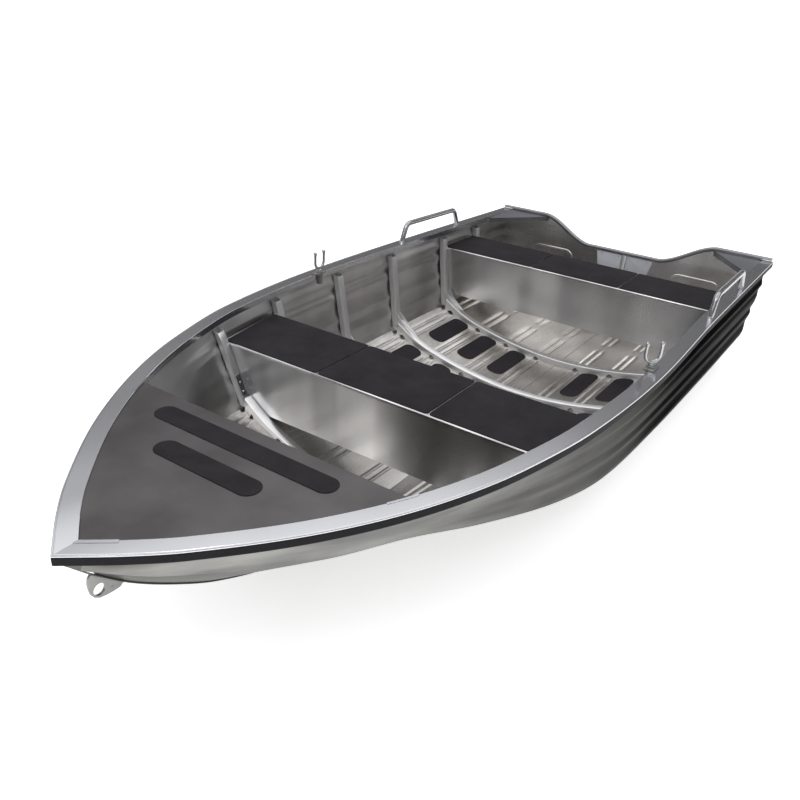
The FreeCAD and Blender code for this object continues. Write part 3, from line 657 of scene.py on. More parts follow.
def parts_of(tree, coordinates):
    """Three parts of a place or a direction."""
    return node(tree, "SeparateXYZ", Vector=node(tree, "TexCoord").outputs[coordinates]).outputs


def spread(tree, value, low, high, start=0.3, end=0.7):
    """Value from a noise, spread over a range."""
    made = node(tree, "MapRange", Value=value, From_Min=start, From_Max=end, To_Min=low, To_Max=high)
    return made.outputs["Result"]


def ramped(tree, value, stops):
    """Colour ramp from (position, colour) stops."""
    made = node(tree, "ValToRGB", Fac=value)
    elements = made.color_ramp.elements
    while len(elements) < len(stops):
        elements.new(0.5)
    for element, (position, colour) in zip(elements, stops):
        element.position = position
        element.color = (*colour, 1.0)
    return made.outputs["Color"]


def blended(tree, way, share, first, second):
    """Mix of two colours; each value may be a socket."""
    made = node(tree, "Mix")
    made.data_type = "RGBA"
    made.blend_type = way
    for number, value in ((0, share), (6, first), (7, second)):
        fill(tree, made.inputs[number], value)
    return made.outputs[2]


def combined(tree, kind, first, second):
    """Math node; each side is a socket or a number."""
    made = node(tree, "Math")
    made.operation = kind
    fill(tree, made.inputs[0], first)
    fill(tree, made.inputs[1], second)
    return made.outputs[0]


def bumped(tree, surface, layers):
    """Bumps laid over each other: (height, strength, distance)."""
    below = {}
    for height, strength, distance in layers:
        made = node(tree, "Bump", Strength=strength, Distance=distance, Height=height, **below)
        below = {"Normal": made.outputs["Normal"]}
    fill(tree, surface.inputs["Normal"], below["Normal"])


def alloy(name, dark, light, roughness, streak=(30.0, 0.9, 30.0), streak_bump=0.00005, wave_bump=0.001,
          wave_scale=3.0, wave_stretch=(1.0, 1.0, 1.0), band=None, aft=None, glance=1.0, grain=0.05):
    """Rolled aluminium: fine streaks one way, slow waves that break up its reflections, faint marks.

    A band is painted reflection: slow light and dark bands of tone, stretched one way, that stand in for
    streaks of reflection: (scale, stretch, darkest tone).
    An aft colour is painted shade: towards the stern the colour turns to it, and the glancing reflection
    dims to the glance value. Glance dims a view along the sheet.
    """
    material, tree, surface = shader(name, light, roughness, 1.0)
    sockets = surface.inputs
    sockets["Specular Tint"].default_value = (glance, glance, glance, 1.0)
    streaks = noise(tree, 12.0, streak, 5.0, 0.6)
    clouds = noise(tree, 5.0, detail=3.0)
    waves = noise(tree, wave_scale, wave_stretch, rough=0.4)
    colour = ramped(tree, clouds, ((0.3, dark), (0.7, light)))
    # Painted reflection: slow light and dark bands multiplied into the colour.
    if band:
        scale, stretch, darkest = band
        slow = noise(tree, scale, stretch, rough=0.45)
        reflection_bands = ramped(tree, slow, ((0.36, (darkest,) * 3), (0.60, (1.0, 1.0, 1.0))))
        colour = blended(tree, "MULTIPLY", 1.0, colour, reflection_bands)
    # Painted shade: towards the stern the colour darkens to the aft colour and the glancing reflection
    # dims.
    if aft:
        share = spread(tree, parts_of(tree, "Object")["Y"], 0.0, 1.0, AFT_SHADE_START, AFT_SHADE_END)
        colour = blended(tree, "MIX", share, colour, aft)
        fill(tree, sockets["Specular Tint"], blended(tree, "MIX", share, (1.0, 1.0, 1.0), (glance,) * 3))
    fill(tree, sockets["Base Color"], colour)
    fill(tree, sockets["Roughness"], spread(tree, streaks, roughness - grain, roughness + grain))
    bumped(tree, surface, ((waves, 0.6, wave_bump), (streaks, 0.25, streak_bump)))
    return material


def rubber(name, dark, light, roughness, grain, sheen):
    """Dull moulded finish with a fine grain and faint dust."""
    material, tree, surface = shader(name, light, roughness, 0.0)
    sockets = surface.inputs
    sockets["Specular IOR Level"].default_value = sheen
    fine = noise(tree, grain)
    dust = noise(tree, 9.0, detail=4.0, rough=0.6)
    fill(tree, sockets["Base Color"], ramped(tree, dust, ((0.3, dark), (0.7, light))))
    fill(tree, sockets["Roughness"], spread(tree, fine, roughness - 0.08, roughness + 0.1))
    bumped(tree, surface, ((fine, 0.5, 0.0006),))
    return material


# A band in these finishes paints streaks of reflection into the colour.
side_alloy = alloy("side_alloy", (0.23, 0.227, 0.213), (0.36, 0.356, 0.337), 0.30, wave_scale=2.2,
                   wave_stretch=(1.0, 0.5, 3.0), band=(5.0, (1.0, 0.12, 2.4), 0.48),
                   # Painted shade: the side darkens towards the stern, in colour and in its glancing
                   # reflection.
                   aft=(0.060, 0.059, 0.056), glance=0.09, grain=0.02)
bottom_alloy = alloy("bottom_alloy", (0.17, 0.168, 0.155), (0.25, 0.247, 0.23), 0.34, wave_scale=2.2,
                     band=(4.0, (2.0, 0.2, 1.0), 0.48), glance=0.60, grain=0.02)
stem_alloy = alloy("stem_alloy", (0.13, 0.128, 0.118), (0.19, 0.187, 0.175), 0.40, glance=0.5)
inner_alloy = alloy("inner_alloy", (0.66, 0.65, 0.64), (0.82, 0.81, 0.80), 0.30, (30.0, 1.2, 30.0),
                    streak_bump=0.000004, wave_bump=0.004, wave_scale=2.0, wave_stretch=(1.0, 1.6, 0.5),
                    band=(2.4, (1.0, 1.0, 0.25), 0.70), grain=0.015)
floor_alloy = alloy("floor_alloy", (0.56, 0.54, 0.515), (0.78, 0.76, 0.73), 0.30, (30.0, 1.2, 30.0),
                    streak_bump=0.00001, wave_bump=0.003, band=(3.0, (1.6, 0.8, 1.0), 0.72))
rail_alloy = alloy("rail_alloy", (0.72, 0.725, 0.755), (0.76, 0.765, 0.795), 0.18, (60.0, 60.0, 60.0),
                   streak_bump=0.00002, wave_bump=0.0001, grain=0.02)
moulding_alloy = alloy("moulding_alloy", (0.30, 0.30, 0.32), (0.37, 0.37, 0.39), 0.42, (2.0, 60.0, 60.0),
                       wave_bump=0.0002)
knee_alloy = alloy("knee_alloy", (0.27, 0.275, 0.295), (0.34, 0.345, 0.365), 0.42, (40.0, 40.0, 2.0),
                   wave_bump=0.0006)
deck_alloy = alloy("deck_alloy", (0.125, 0.118, 0.12), (0.185, 0.176, 0.18), 0.40, (3.0, 40.0, 3.0),
                   wave_bump=0.0012, wave_scale=5.0)
thwart_alloy = alloy("thwart_alloy", (0.86, 0.86, 0.865), (0.95, 0.95, 0.955), 0.25, (1.0, 4.0, 20.0),
                     streak_bump=0.00001, wave_bump=0.008, wave_scale=2.0, wave_stretch=(2.4, 1.0, 0.35),
                     band=(3.2, (1.0, 1.0, 0.12), 0.42), grain=0.01)
frame_alloy = alloy("frame_alloy", (0.84, 0.84, 0.845), (0.95, 0.95, 0.955), 0.46, (40.0, 40.0, 2.0),
                    streak_bump=0.0001, wave_scale=8.0)
transom_alloy = alloy("transom_alloy", (0.84, 0.81, 0.79), (0.95, 0.92, 0.90), 0.28, (1.0, 20.0, 20.0),
                      streak_bump=0.00002, wave_bump=0.006, wave_scale=1.8, wave_stretch=(2.0, 1.0, 0.4),
                      band=(3.0, (1.0, 1.0, 0.15), 0.65), grain=0.01)
cast_alloy = alloy("cast_alloy", (0.27, 0.27, 0.262), (0.37, 0.37, 0.36), 0.42, (8.0, 8.0, 8.0),
                   streak_bump=0.0004, wave_scale=20.0)
tube_alloy = alloy("tube_alloy", (0.46, 0.46, 0.475), (0.56, 0.56, 0.575), 0.26, (30.0, 3.0, 30.0),
                   wave_bump=0.0002, wave_scale=12.0)
zinc_alloy = alloy("zinc_alloy", (0.42, 0.43, 0.44), (0.54, 0.55, 0.56), 0.28, (14.0, 14.0, 14.0),
                   streak_bump=0.0001, wave_bump=0.0003, wave_scale=30.0)
weld_alloy = alloy("weld_alloy", (0.50, 0.50, 0.50), (0.80, 0.80, 0.80), 0.34, (20.0, 20.0, 20.0),
                   streak_bump=0.001, wave_bump=0.0005, wave_scale=60.0)
pad_rubber = rubber("pad_rubber", (0.024, 0.022, 0.025), (0.036, 0.033, 0.037), 0.85, 900.0, 0.16)
band_rubber = rubber("band_rubber", (0.009, 0.008, 0.010), (0.014, 0.013, 0.016), 0.60, 300.0, 0.20)
clamp_plastic = rubber("clamp_plastic", (0.62, 0.63, 0.68), (0.70, 0.71, 0.76), 0.50, 250.0, 0.4)


# Hull skins

def dense_stations(start, end, count):
    """Stations that lie closer together near the bow."""
    return [mix(start, end, (number / count) ** 1.25) for number in range(count + 1)]


def side_spot(station, share, inside):
    x, z = side_point(station, share, inside)
    return placed(x, station, z)


def make_sides():
    """Side panels with their pressed steps."""
    mesh = bmesh.new()
    stations = dense_stations(SKIN_START, LENGTH, 120)
    shares = steps(0.0, 1.0, 50)
    outer = [[side_spot(station, share, 0.0) for share in shares] for station in stations]
    inner = [[side_spot(station, share, SHEET) for share in shares] for station in stations]
    add_shell(mesh, outer, inner)
    both_sides("side_skin", mesh, side_alloy, "hull_alloy", "side_panel", angle=60.0, inside=(inner_alloy,))


def bottom_columns():
    """Half breadths at full breadth, close together over the flutes."""
    columns = set(round(x, 5) for x in steps(0.0, bottom_edge(LENGTH * FLUTE_FULL_SHARE), 36))
    for number in range(FLUTE_COUNT):
        centre = flat_centre(number)
        for offset in (-FLUTE_SPACING, FLUTE_SPACING):
            for part in steps(-FLUTE_WIDTH, FLUTE_WIDTH, 6):
                columns.add(round(centre + offset + part, 5))
    edge = bottom_edge(LENGTH * FLUTE_FULL_SHARE)
    return [x for x in sorted(columns) if x <= edge]


def make_bottoms():
    """Bottom panels with their paired flutes."""
    mesh = bmesh.new()
    stations = set(dense_stations(BOTTOM_START, LENGTH, 130))
    for place in rib_stations():
        for side in (-1.0, 1.0):
            stations.update(place + side * (RIB_WIDTH * 0.6 + part) for part in steps(0.0, FLUTE_END, 6))
    columns = bottom_columns()
    outer = []
    inner = []
    for station in sorted(stations):
        fade = flute_fade(station)
        share = breadth_share(station)
        rise = bottom_rise(station)
        line = []
        for column in columns:
            x = column * share
            line.append((x, bottom_height(station, x) - flute_drop(station, x) * fade))
        outer.append([placed(x, station, z) for x, z in line])
        inner.append([placed(x, station, z + rise) for x, z in line])
    add_shell(mesh, outer, inner)
    both_sides("bottom_skin", mesh, bottom_alloy, "hull_alloy", "bottom_panel", angle=60.0,
               inside=(floor_alloy,))


def rail_point(station, inset, drop):
    normal = sheer_normal(max(station, 0.001))
    spot = at(sheer_half(station), station, sheer_height(station) - drop)
    return spot - normal * inset


def mitre_station(inset):
    """Station at which a line of the rail meets the centre plane at the bow."""
    return crossing(-0.05, 0.4, 40, lambda station: rail_point(station, inset, 0.0).x < 0.0)[1]


def rail_sweep(mesh, profile):
    """Extrusion along the sheer line, mitred at the bow."""
    starts = [mitre_station(inset) for inset, drop in profile]
    sections = []
    for number in range(151):
        share = (number / 150) ** 1.5
        section = []
        for (inset, drop), start in zip(profile, starts):
            spot = rail_point(mix(start, LENGTH, share), inset, drop)
            if number == 0:
                spot.x = 0.0
            section.append(spot)
        sections.append(section)
    add_loft(mesh, sections)


def make_rails():
    """Broad top flange with a groove near its edge, over an upright web: (inset, drop) round it."""
    web_out, web_in, web_depth = RAIL_WEB
    mesh = bmesh.new()
    rail_sweep(mesh, [
        (0.0, 0.0014), (0.0004, 0.0005), (0.0013, 0.0), (0.0045, 0.0), (0.0053, 0.0008), (0.0063, 0.0008),
        (0.0071, 0.0), (0.0570, 0.0), (0.0577, 0.0003), (RAIL_WIDTH, 0.0010), (RAIL_WIDTH, RAIL_THICKNESS),
        (web_in, RAIL_THICKNESS), (web_in, web_depth), (web_out, web_depth),
        (web_out, RAIL_THICKNESS), (0.0, RAIL_THICKNESS),
    ])
    both_sides("rail", mesh, rail_alloy, "gunwale_alloy", "gunwale", angle=18.0)


def make_rail_lips():
    """Down-turned inner edge of the rail, broken at the rowlock."""
    mesh = bmesh.new()
    profile = ((0.0548, 0.0036), (0.0579, 0.0036), (0.0579, 0.0250), (0.0572, 0.0262), (0.0548, 0.0262))
    front, aft = rowlock_station - ROWLOCK_NOTCH, rowlock_station + ROWLOCK_NOTCH
    for start, end in ((DECK_AFT - DECK_JOINT, front), (aft, CORNER_START)):
        add_loft(mesh, [[rail_point(station, inset, drop) for inset, drop in profile]
                        for station in steps(start, end, 60)])
    both_sides("rail_lip", mesh, rail_alloy, "gunwale_alloy", angle=30.0)


def make_bands():
    """Rubber band under the rail's outer edge."""
    mesh = bmesh.new()
    top = RAIL_THICKNESS + GAP
    low = top + FENDER_DEPTH + FENDER_ROOT
    back = RAIL_WEB[0] - GAP
    rail_sweep(mesh, [
        (0.0015, top), (0.0, top + 0.002), (0.0, top + 0.005), (0.0, low - 0.006),
        (0.0, low - 0.003), (0.002, low - 0.001), (0.0045, low), (back, low), (back, top),
    ])
    both_sides("band", mesh, band_rubber, "black_rubber", "fender", angle=50.0)


# Deck

def deck_height(station):
    return sheer_height(station - DECK_SETBACK) - RAIL_THICKNESS - GAP


def make_deck():
    """Deck plate that follows the sheer, with a lip down along its after edge."""
    mesh = bmesh.new()
    top = []
    under = []
    for station in steps(SKIN_START + 0.004, DECK_AFT, 60):
        high = deck_height(station)
        half = side_half(station, high) - 0.001
        row = [at(half * share, station, high) for share in steps(-1.0, 1.0, 24)]
        top.append(row)
        under.append([spot - Vector((0, 0, DECK_THICKNESS)) for spot in row])
    add_shell(mesh, top, under)
    lip_high = deck_height(DECK_AFT)
    half = side_half(DECK_AFT, lip_high) - 0.014
    profile = [(0.0, 0.0), (0.0012, -0.0004), (0.002, -0.0014), (0.002, -DECK_LIP), (0.0, -DECK_LIP)]
    add_loft(mesh, [[at(half * share, DECK_AFT + out, lip_high + rise) for out, rise in profile]
                    for share in steps(-1.0, 1.0, 12)])
    finished("deck_plate", mesh, deck_alloy, "deck_alloy", ("foredeck",), angle=35.0)


def make_deck_strips():
    """Two round-ended grip strips across the deck."""
    mesh = bmesh.new()
    for front, aft, half in STRIPS:
        radius = (aft - front) / 2
        middle = (aft + front) / 2

        def place(u, v, height, middle=middle):
            return at(u, middle + v, deck_height(middle + v) + GAP + height)

        add_plate(mesh, rounded(box(-half, -radius, half, radius), radius * 0.98, 12), place, GRIP_SHEET)
    finished("deck_strips", mesh, pad_rubber, "grip_rubber", ("foredeck_strips",), angle=45.0)


# Thwarts

def thwart_heights(sizes):
    front, aft, drop, rise = sizes
    middle = (front + aft) / 2
    return chine_height(middle) + rise, sheer_height(middle) - drop


def make_thwart(name, sizes):
    """Box seat whose ends follow the steps of the sides."""
    front, aft = sizes[:2]
    low, top = thwart_heights(sizes)
    mesh = bmesh.new()
    levels = steps(low, top - THWART_BEND, 30)[:-1]
    profile = [(front, z) for z in levels]
    for centre, first in ((front + THWART_BEND, 1.0), (aft - THWART_BEND, 0.5)):
        for step in range(7):
            turn = math.pi * (first - 0.5 * step / 6)
            rise = THWART_BEND * (math.sin(turn) - 1.0)
            profile.append((centre + THWART_BEND * math.cos(turn), top + rise))
    profile += [(aft, z) for z in levels[::-1]]
    sections = []
    for share in steps(-1.0, 1.0, 24):
        sections.append([at(share * (inner_half(station, z) - THWART_CLEARANCE), station, z)
                         for station, z in profile])
    rows = add_loft(mesh, sections, caps=False)
    last = len(profile) - 1
    for row in (rows[0], rows[-1]):
        for index in range(last // 2):
            mesh.faces.new((row[index], row[index + 1], row[last - index - 1], row[last - index]))
    finished(name + "_box", mesh, thwart_alloy, "thwart_alloy", (name,), angle=40.0)
    make_thwart_pads(name, front, aft, top)
    make_thwart_straps(name, front, aft, low, top)


def make_thwart_pads(name, front, aft, top):
    """Three grip pads side by side on a seat."""
    mesh = bmesh.new()
    start, stop = front + PAD_MARGIN, aft - PAD_MARGIN
    start_half = inner_half(front, top) - PAD_MARGIN - PAD_SIDE_GAP
    stop_half = inner_half(aft, top) - PAD_MARGIN - PAD_SIDE_GAP
    cut, far = PAD_SPLIT - PAD_GAP / 2, PAD_SPLIT + PAD_GAP / 2
    for side in (-1.0, 0.0, 1.0):
        corners = box(-cut, start, cut, stop)
        if side:
            trapezium = ((far, start), (start_half, start), (stop_half, stop), (far, stop))
            corners = [Vector((side * x, station)) for x, station in trapezium]
        outline = rounded(corners, PAD_CORNER, 8)
        add_plate(mesh, outline, lambda u, v, height: at(u, v, top + GAP + height), PAD_THICKNESS)
    finished(name + "_grips", mesh, pad_rubber, "grip_rubber", (name + "_pads",), angle=45.0)


def make_thwart_straps(name, front, aft, low, top):
    """Upright straps that hold the box to the sides."""
    mesh = bmesh.new()
    for station, way in ((front, -1.0), (aft, 1.0)):
        levels = steps(low + STRAP_MARGIN, top - STRAP_MARGIN, 10)
        edge = [(inner_half(station, z) - 0.002, z) for z in levels]
        outer = [[at(x - inward, station + way * 0.0004, z) for x, z in edge]
                 for inward in (0.0, STRAP_WIDTH)]
        inner = [[place + Vector((0, way * STRAP_THICKNESS, 0)) for place in row] for row in outer]
        add_shell(mesh, outer, inner)
    both_sides(name + "_straps", mesh, frame_alloy, "frame_alloy", bevel=0.0004)


# Ribs and floor frames

def rib_line(station):
    """Foot and head of a straight rib that stays clear of the side's steps."""
    low = side_point(station, 0.0)[1] + RIB_FOOT_RISE
    high = sheer_height(station) - RIB_TOP_DROP
    lower = side_half(station, low)
    upper = side_half(station, high)
    excess = 0.0
    for z in steps(low, high, 30):
        chord = mix(lower, upper, (z - low) / (high - low))
        excess = max(excess, chord - side_half(station, z))
    return (lower - excess - GAP, low), (upper - excess - GAP, high)


def rib_spots(station, share):
    """Points of a rib's back at its front and its aft edge, at a share of its height."""
    spots = []
    for place in (station - RIB_WIDTH / 2, station + RIB_WIDTH / 2):
        (foot_x, foot_z), (head_x, head_z) = rib_line(place)
        spots.append((mix(foot_x, head_x, share), mix(foot_z, head_z, share)))
    return spots


def rib_spot(station, share, across, inward, cut=0.0):
    """Point across a rib's width, inwards from its back."""
    (front_x, front_z), (aft_x, aft_z) = rib_spots(station, share)
    way = across / RIB_WIDTH + 0.5
    return at(mix(front_x, aft_x, way) - inward, station + across, mix(front_z, aft_z, way) - cut)


def make_ribs():
    """Channels with rounded edges, their open side on the hull and their heads cut aslant."""
    mesh = bmesh.new()
    half = RIB_WIDTH / 2
    wall = 0.003
    over = [(half - 0.004, RIB_DEPTH), (half - 0.0012, RIB_DEPTH - 0.0012), (half, RIB_DEPTH - 0.004),
            (half, 0.0)]
    under = [(half - wall, 0.0), (half - wall, RIB_DEPTH - wall)]
    profile = ([(-across, inward) for across, inward in over[::-1]] + over + under
               + [(-across, inward) for across, inward in under[::-1]])
    for station in rib_stations():
        sections = []
        for share in steps(0.0, 1.0, 10):
            cut = 0.010 * smooth_step((share - 0.93) / 0.07) / RIB_DEPTH
            sections.append([rib_spot(station, share, across, inward, cut * inward)
                             for across, inward in profile])
        add_loft(mesh, sections)
    both_sides("rib_channels", mesh, frame_alloy, "frame_alloy", "side_ribs", angle=50.0)


def make_rib_welds():
    """Short welds along both edges of each rib."""
    mesh = bmesh.new()
    out = RIB_WIDTH / 2 + 0.001
    for station in rib_stations():
        for side, across in ((0, -out), (1, out)):
            for shares in ((0.02, 0.10), (0.45, 0.53), (0.90, 0.98)):
                ends = [rib_spots(station, share)[side] for share in shares]
                add_bead(mesh, [at(x - 0.0025, station + across, z) for x, z in ends], RIB_WELD)
    both_sides("rib_welds", mesh, weld_alloy, "frame_alloy")


def make_splices():
    """Riveted plate over the foot of the foremost ribs."""
    mesh = bmesh.new()
    station = rib_stations()[0]
    half = RIB_WIDTH / 2 - 0.005
    face = RIB_DEPTH + 0.003
    profile = ((-half, RIB_DEPTH + 0.0002), (half, RIB_DEPTH + 0.0002), (half, face), (-half, face))
    add_loft(mesh, [[rib_spot(station, share, across, inward) for across, inward in profile]
                    for share in steps(0.02, 0.42, 8)])
    for share in (0.08, 0.20, 0.32):
        add_dome(mesh, rib_spot(station, share, 0.0, face), Vector((-1.0, 0.0, 0.0)), 0.0055, 0.0025)
    both_sides("rib_splices", mesh, rail_alloy, "frame_alloy", bevel=0.0005)


def make_floor_seam():
    """Seam along the middle of the floor."""
    mesh = bmesh.new()
    stations = steps(0.75, LENGTH - 0.06, 90)
    add_rod(mesh, [at(0.0, place, floor_height(place, 0.0) + 0.0003) for place in stations], 0.0016, 6)
    finished("floor_seam", mesh, moulding_alloy, "hull_alloy", angle=60.0)


def frame_head(station, last_x, x):
    """Upper edge of a floor frame, which rises towards the ribs."""
    knee = max(abs(x) / last_x - KNEE_START, 0.0) / (1.0 - KNEE_START)
    return floor_height(station, abs(x)) + FRAME_HEIGHT + (KNEE_RISE - FRAME_HEIGHT) * knee * knee


def limber(station, x):
    """Rise of a frame's foot over a flute, where water drains through."""
    share = breadth_share(station)
    for number in range(FLUTE_COUNT):
        distance = abs(abs(x) - flat_centre(number) * share) / LIMBER_HALF
        if distance < 1.0:
            return LIMBER_RISE * math.sqrt(1.0 - distance * distance)
    return 0.0


def make_frames():
    """Floor frames that arch over the flutes."""
    mesh = bmesh.new()
    half = RIB_WIDTH / 2
    reach = LIMBER_HALF + 0.0001
    rim = ((0.0, 0.005), (0.0016, 0.0014), (0.006, 0.0))
    for station in rib_stations()[:-1]:
        last_x = rib_line(station)[0][0] - RIB_DEPTH - 0.001
        places = set(steps(-last_x, last_x, 80))
        share = breadth_share(station)
        for number in range(FLUTE_COUNT):
            for part in steps(-reach, reach, 10):
                x = flat_centre(number) * share + part
                if x < last_x - FRAME_FOOT:
                    places.update((x, -x))
        sections = []
        for x in sorted(places):
            head = frame_head(station, last_x, x)
            foot = GAP + (limber(station, x) if abs(x) < last_x - FRAME_FOOT else 0.0)
            front = [at(x, station - half + inset, head - drop) for inset, drop in rim]
            aft = [at(x, station + half - inset, head - drop) for inset, drop in rim[::-1]]
            feet = [at(x, edge, floor_height(edge, abs(x)) + foot)
                    for edge in (station - half, station + half)]
            sections.append([feet[0], *front, *aft, feet[1]])
        add_loft(mesh, sections)
    finished("floor_arches", mesh, frame_alloy, "frame_alloy", ("floor_frames",), angle=50.0)


def make_gussets():
    """Pairs of plates where a frame meets its ribs."""
    mesh = bmesh.new()
    half = RIB_WIDTH / 2
    for station in rib_stations()[1:5]:
        (foot_x, foot_z), (head_x, head_z) = rib_line(station)
        face = foot_x - RIB_DEPTH
        up_x = mix(foot_x, head_x, GUSSET_RISE / (head_z - foot_z)) - RIB_DEPTH
        outline = [(up_x - 0.0005, foot_z + GUSSET_RISE), (face + 0.001, foot_z + 0.03)]
        for x in steps(face - 0.004, face - GUSSET_REACH, 8):
            outline.append((x, frame_head(station, face - 0.001, x) + 0.0006))
        for across in (-half + 0.002, half - 0.005):
            add_prism(mesh, [at(x, station + across, z) for x, z in outline], Vector((0, GUSSET_SHEET, 0)))
    both_sides("knee_gussets", mesh, frame_alloy, "frame_alloy", bevel=0.0006)


def make_floor_pads():
    """Grip pads on the flats between the flutes, three abreast on each side between the frames."""
    mesh = bmesh.new()
    stations = rib_stations()
    for front, aft in zip(stations[1:], stations[2:5]):
        start = front + RIB_WIDTH / 2 + FLOOR_PAD_AHEAD
        stop = aft - RIB_WIDTH / 2 - FLOOR_PAD_AFT
        outline = rounded(box(-FLOOR_PAD_HALF, start, FLOOR_PAD_HALF, stop), FLOOR_PAD_CORNER, 8)
        for flat in range(3):

            def place(u, v, height, middle=flat_centre(flat + 0.5)):
                x = (middle + u) * breadth_share(v)
                return at(x, v, floor_height(v, x) + 0.0006 + height)

            add_plate(mesh, outline, place, GRIP_SHEET)
    other = mirrored(mesh)
    data = bpy.data.meshes.new("other_side")
    other.to_mesh(data)
    mesh.from_mesh(data)
    other.free()
    bpy.data.meshes.remove(data)
    finished("floor_grips", mesh, pad_rubber, "grip_rubber", ("floor_pads",), angle=45.0)


# Transom

def transom_edge(x):
    """Height of the transom's upper edge, low in the middle for a motor."""
    share = (abs(x) - CUTOUT_HALF_BOTTOM) / (CUTOUT_HALF_TOP - CUTOUT_HALF_BOTTOM)
    return cutout_height + (transom_top - cutout_height) * smooth_step(share)


def on_transom(x, z, forward=0.0):
    return at(x, transom_station(z, forward), z)


def on_front_face(u, v, height):
    """Point of a plate that lies on the transom's front face."""
    return on_transom(u, v, TRANSOM_SHEET + GAP + height)


def on_back_face(u, v, height):
    """Point of a plate that lies on the transom's back face."""
    return on_transom(u, v, -GAP - height)


forward_way = (on_transom(0.0, 0.4, 1.0) - on_transom(0.0, 0.4)).normalized()
up_way = (on_transom(0.0, 0.5) - on_transom(0.0, 0.4)).normalized()


def make_transom():
    """Raked sheet with the cut-out for a motor; strips at its edges follow the steps of the sides."""
    out = slant(LENGTH)
    corner = sheer_half(LENGTH) - TRANSOM_CORNER * out
    shoulder = sheer_half(LENGTH) - (RAIL_WIDTH + GAP) * out
    under_rail = sheer_height(LENGTH) - RAIL_THICKNESS - GAP
    foot_half = chine_half(LENGTH) - TRANSOM_FOOT
    mesh = bmesh.new()
    front = []
    back = []
    for x in sorted(set(steps(-corner, corner, 120)) | {-shoulder, shoulder, -foot_half, foot_half}):
        if abs(x) <= foot_half:
            low = bottom_height(LENGTH, min(abs(x), chine_half(LENGTH))) - 0.0015
        else:
            low = mix(chine_height(LENGTH), under_rail, (abs(x) - foot_half) / (corner - foot_half))
        high = transom_edge(x) if abs(x) <= shoulder else under_rail
        levels = steps(low, max(high, low + 0.0005), 30)
        front.append([on_transom(x, z, TRANSOM_SHEET) for z in levels])
        back.append([on_transom(x, z) for z in levels])
    add_shell(mesh, front, back)
    for side in (-1.0, 1.0):
        rows = []
        for share in steps(0.0, 1.0, 60):
            x, z = side_point(LENGTH, share)
            rows.append([(side * (x - EDGE_STRIP), z), (side * (x - EDGE_GAP), z)])
        add_shell(mesh, [[on_transom(x, z, TRANSOM_SHEET - EDGE_GAP) for x, z in row] for row in rows],
                  [[on_transom(x, z, EDGE_GAP) for x, z in row] for row in rows])
    finished("transom_plate", mesh, transom_alloy, "hull_alloy", ("transom",), angle=50.0,
             inside=(bottom_alloy,))


def make_capping():
    """Rounded moulding that runs over the transom's edge and down into the cut-out."""
    mesh = bmesh.new()
    end = sheer_half(LENGTH) - CAPPING_END * slant(LENGTH)
    half = CAPPING_WIDTH / 2
    middle = half - CAPPING_OVERHANG
    front_gap = TRANSOM_SHEET - middle + GAP
    back_gap = -middle - GAP
    sections = []
    for x in steps(-end, end, 200):
        across = (Vector((1, 0, 0)) + up_way * slope_of(transom_edge, x, 0.002)).normalized()
        out = (up_way - across * up_way.dot(across)).normalized()
        base = on_transom(x, transom_edge(x) + GAP, middle)
        skirt = CAPPING_SKIRT if abs(x) < end - CAPPING_PLAIN_END else 0.003
        profile = []
        for turn in steps(0.0, math.pi, 14):
            rise = (CAPPING_HEIGHT - 0.0005) * math.sin(turn) ** CAPPING_POWER
            profile.append((half * math.cos(turn), rise))
        profile += [(-half, -0.004), (CAPPING_WALL - half, -0.004), (back_gap, -0.0004), (back_gap, 0.0012),
                    (front_gap, 0.0012), (front_gap, -skirt), (half - 0.002, -skirt),
                    (half, -skirt + 0.003)]
        sections.append([base + forward_way * forward + out * rise for forward, rise in profile])
    add_loft(mesh, sections)
    finished("transom_moulding", mesh, moulding_alloy, "gunwale_alloy", ("transom_capping",), angle=40.0)


def make_brace():
    """Upright bar on the transom's front face."""
    mesh = bmesh.new()
    inner, outer = BRACE_CENTRE - BRACE_HALF, BRACE_CENTRE + BRACE_HALF
    corners = box(inner, floor_height(LENGTH, outer) + GAP, outer, cutout_height - BRACE_TOP_GAP)
    add_plate(mesh, rounded(corners, 0.003, 3), on_front_face, BRACE_DEPTH, 0.0012)
    finished("centre_brace", mesh, frame_alloy, "hull_alloy", ("transom_brace",), angle=40.0)


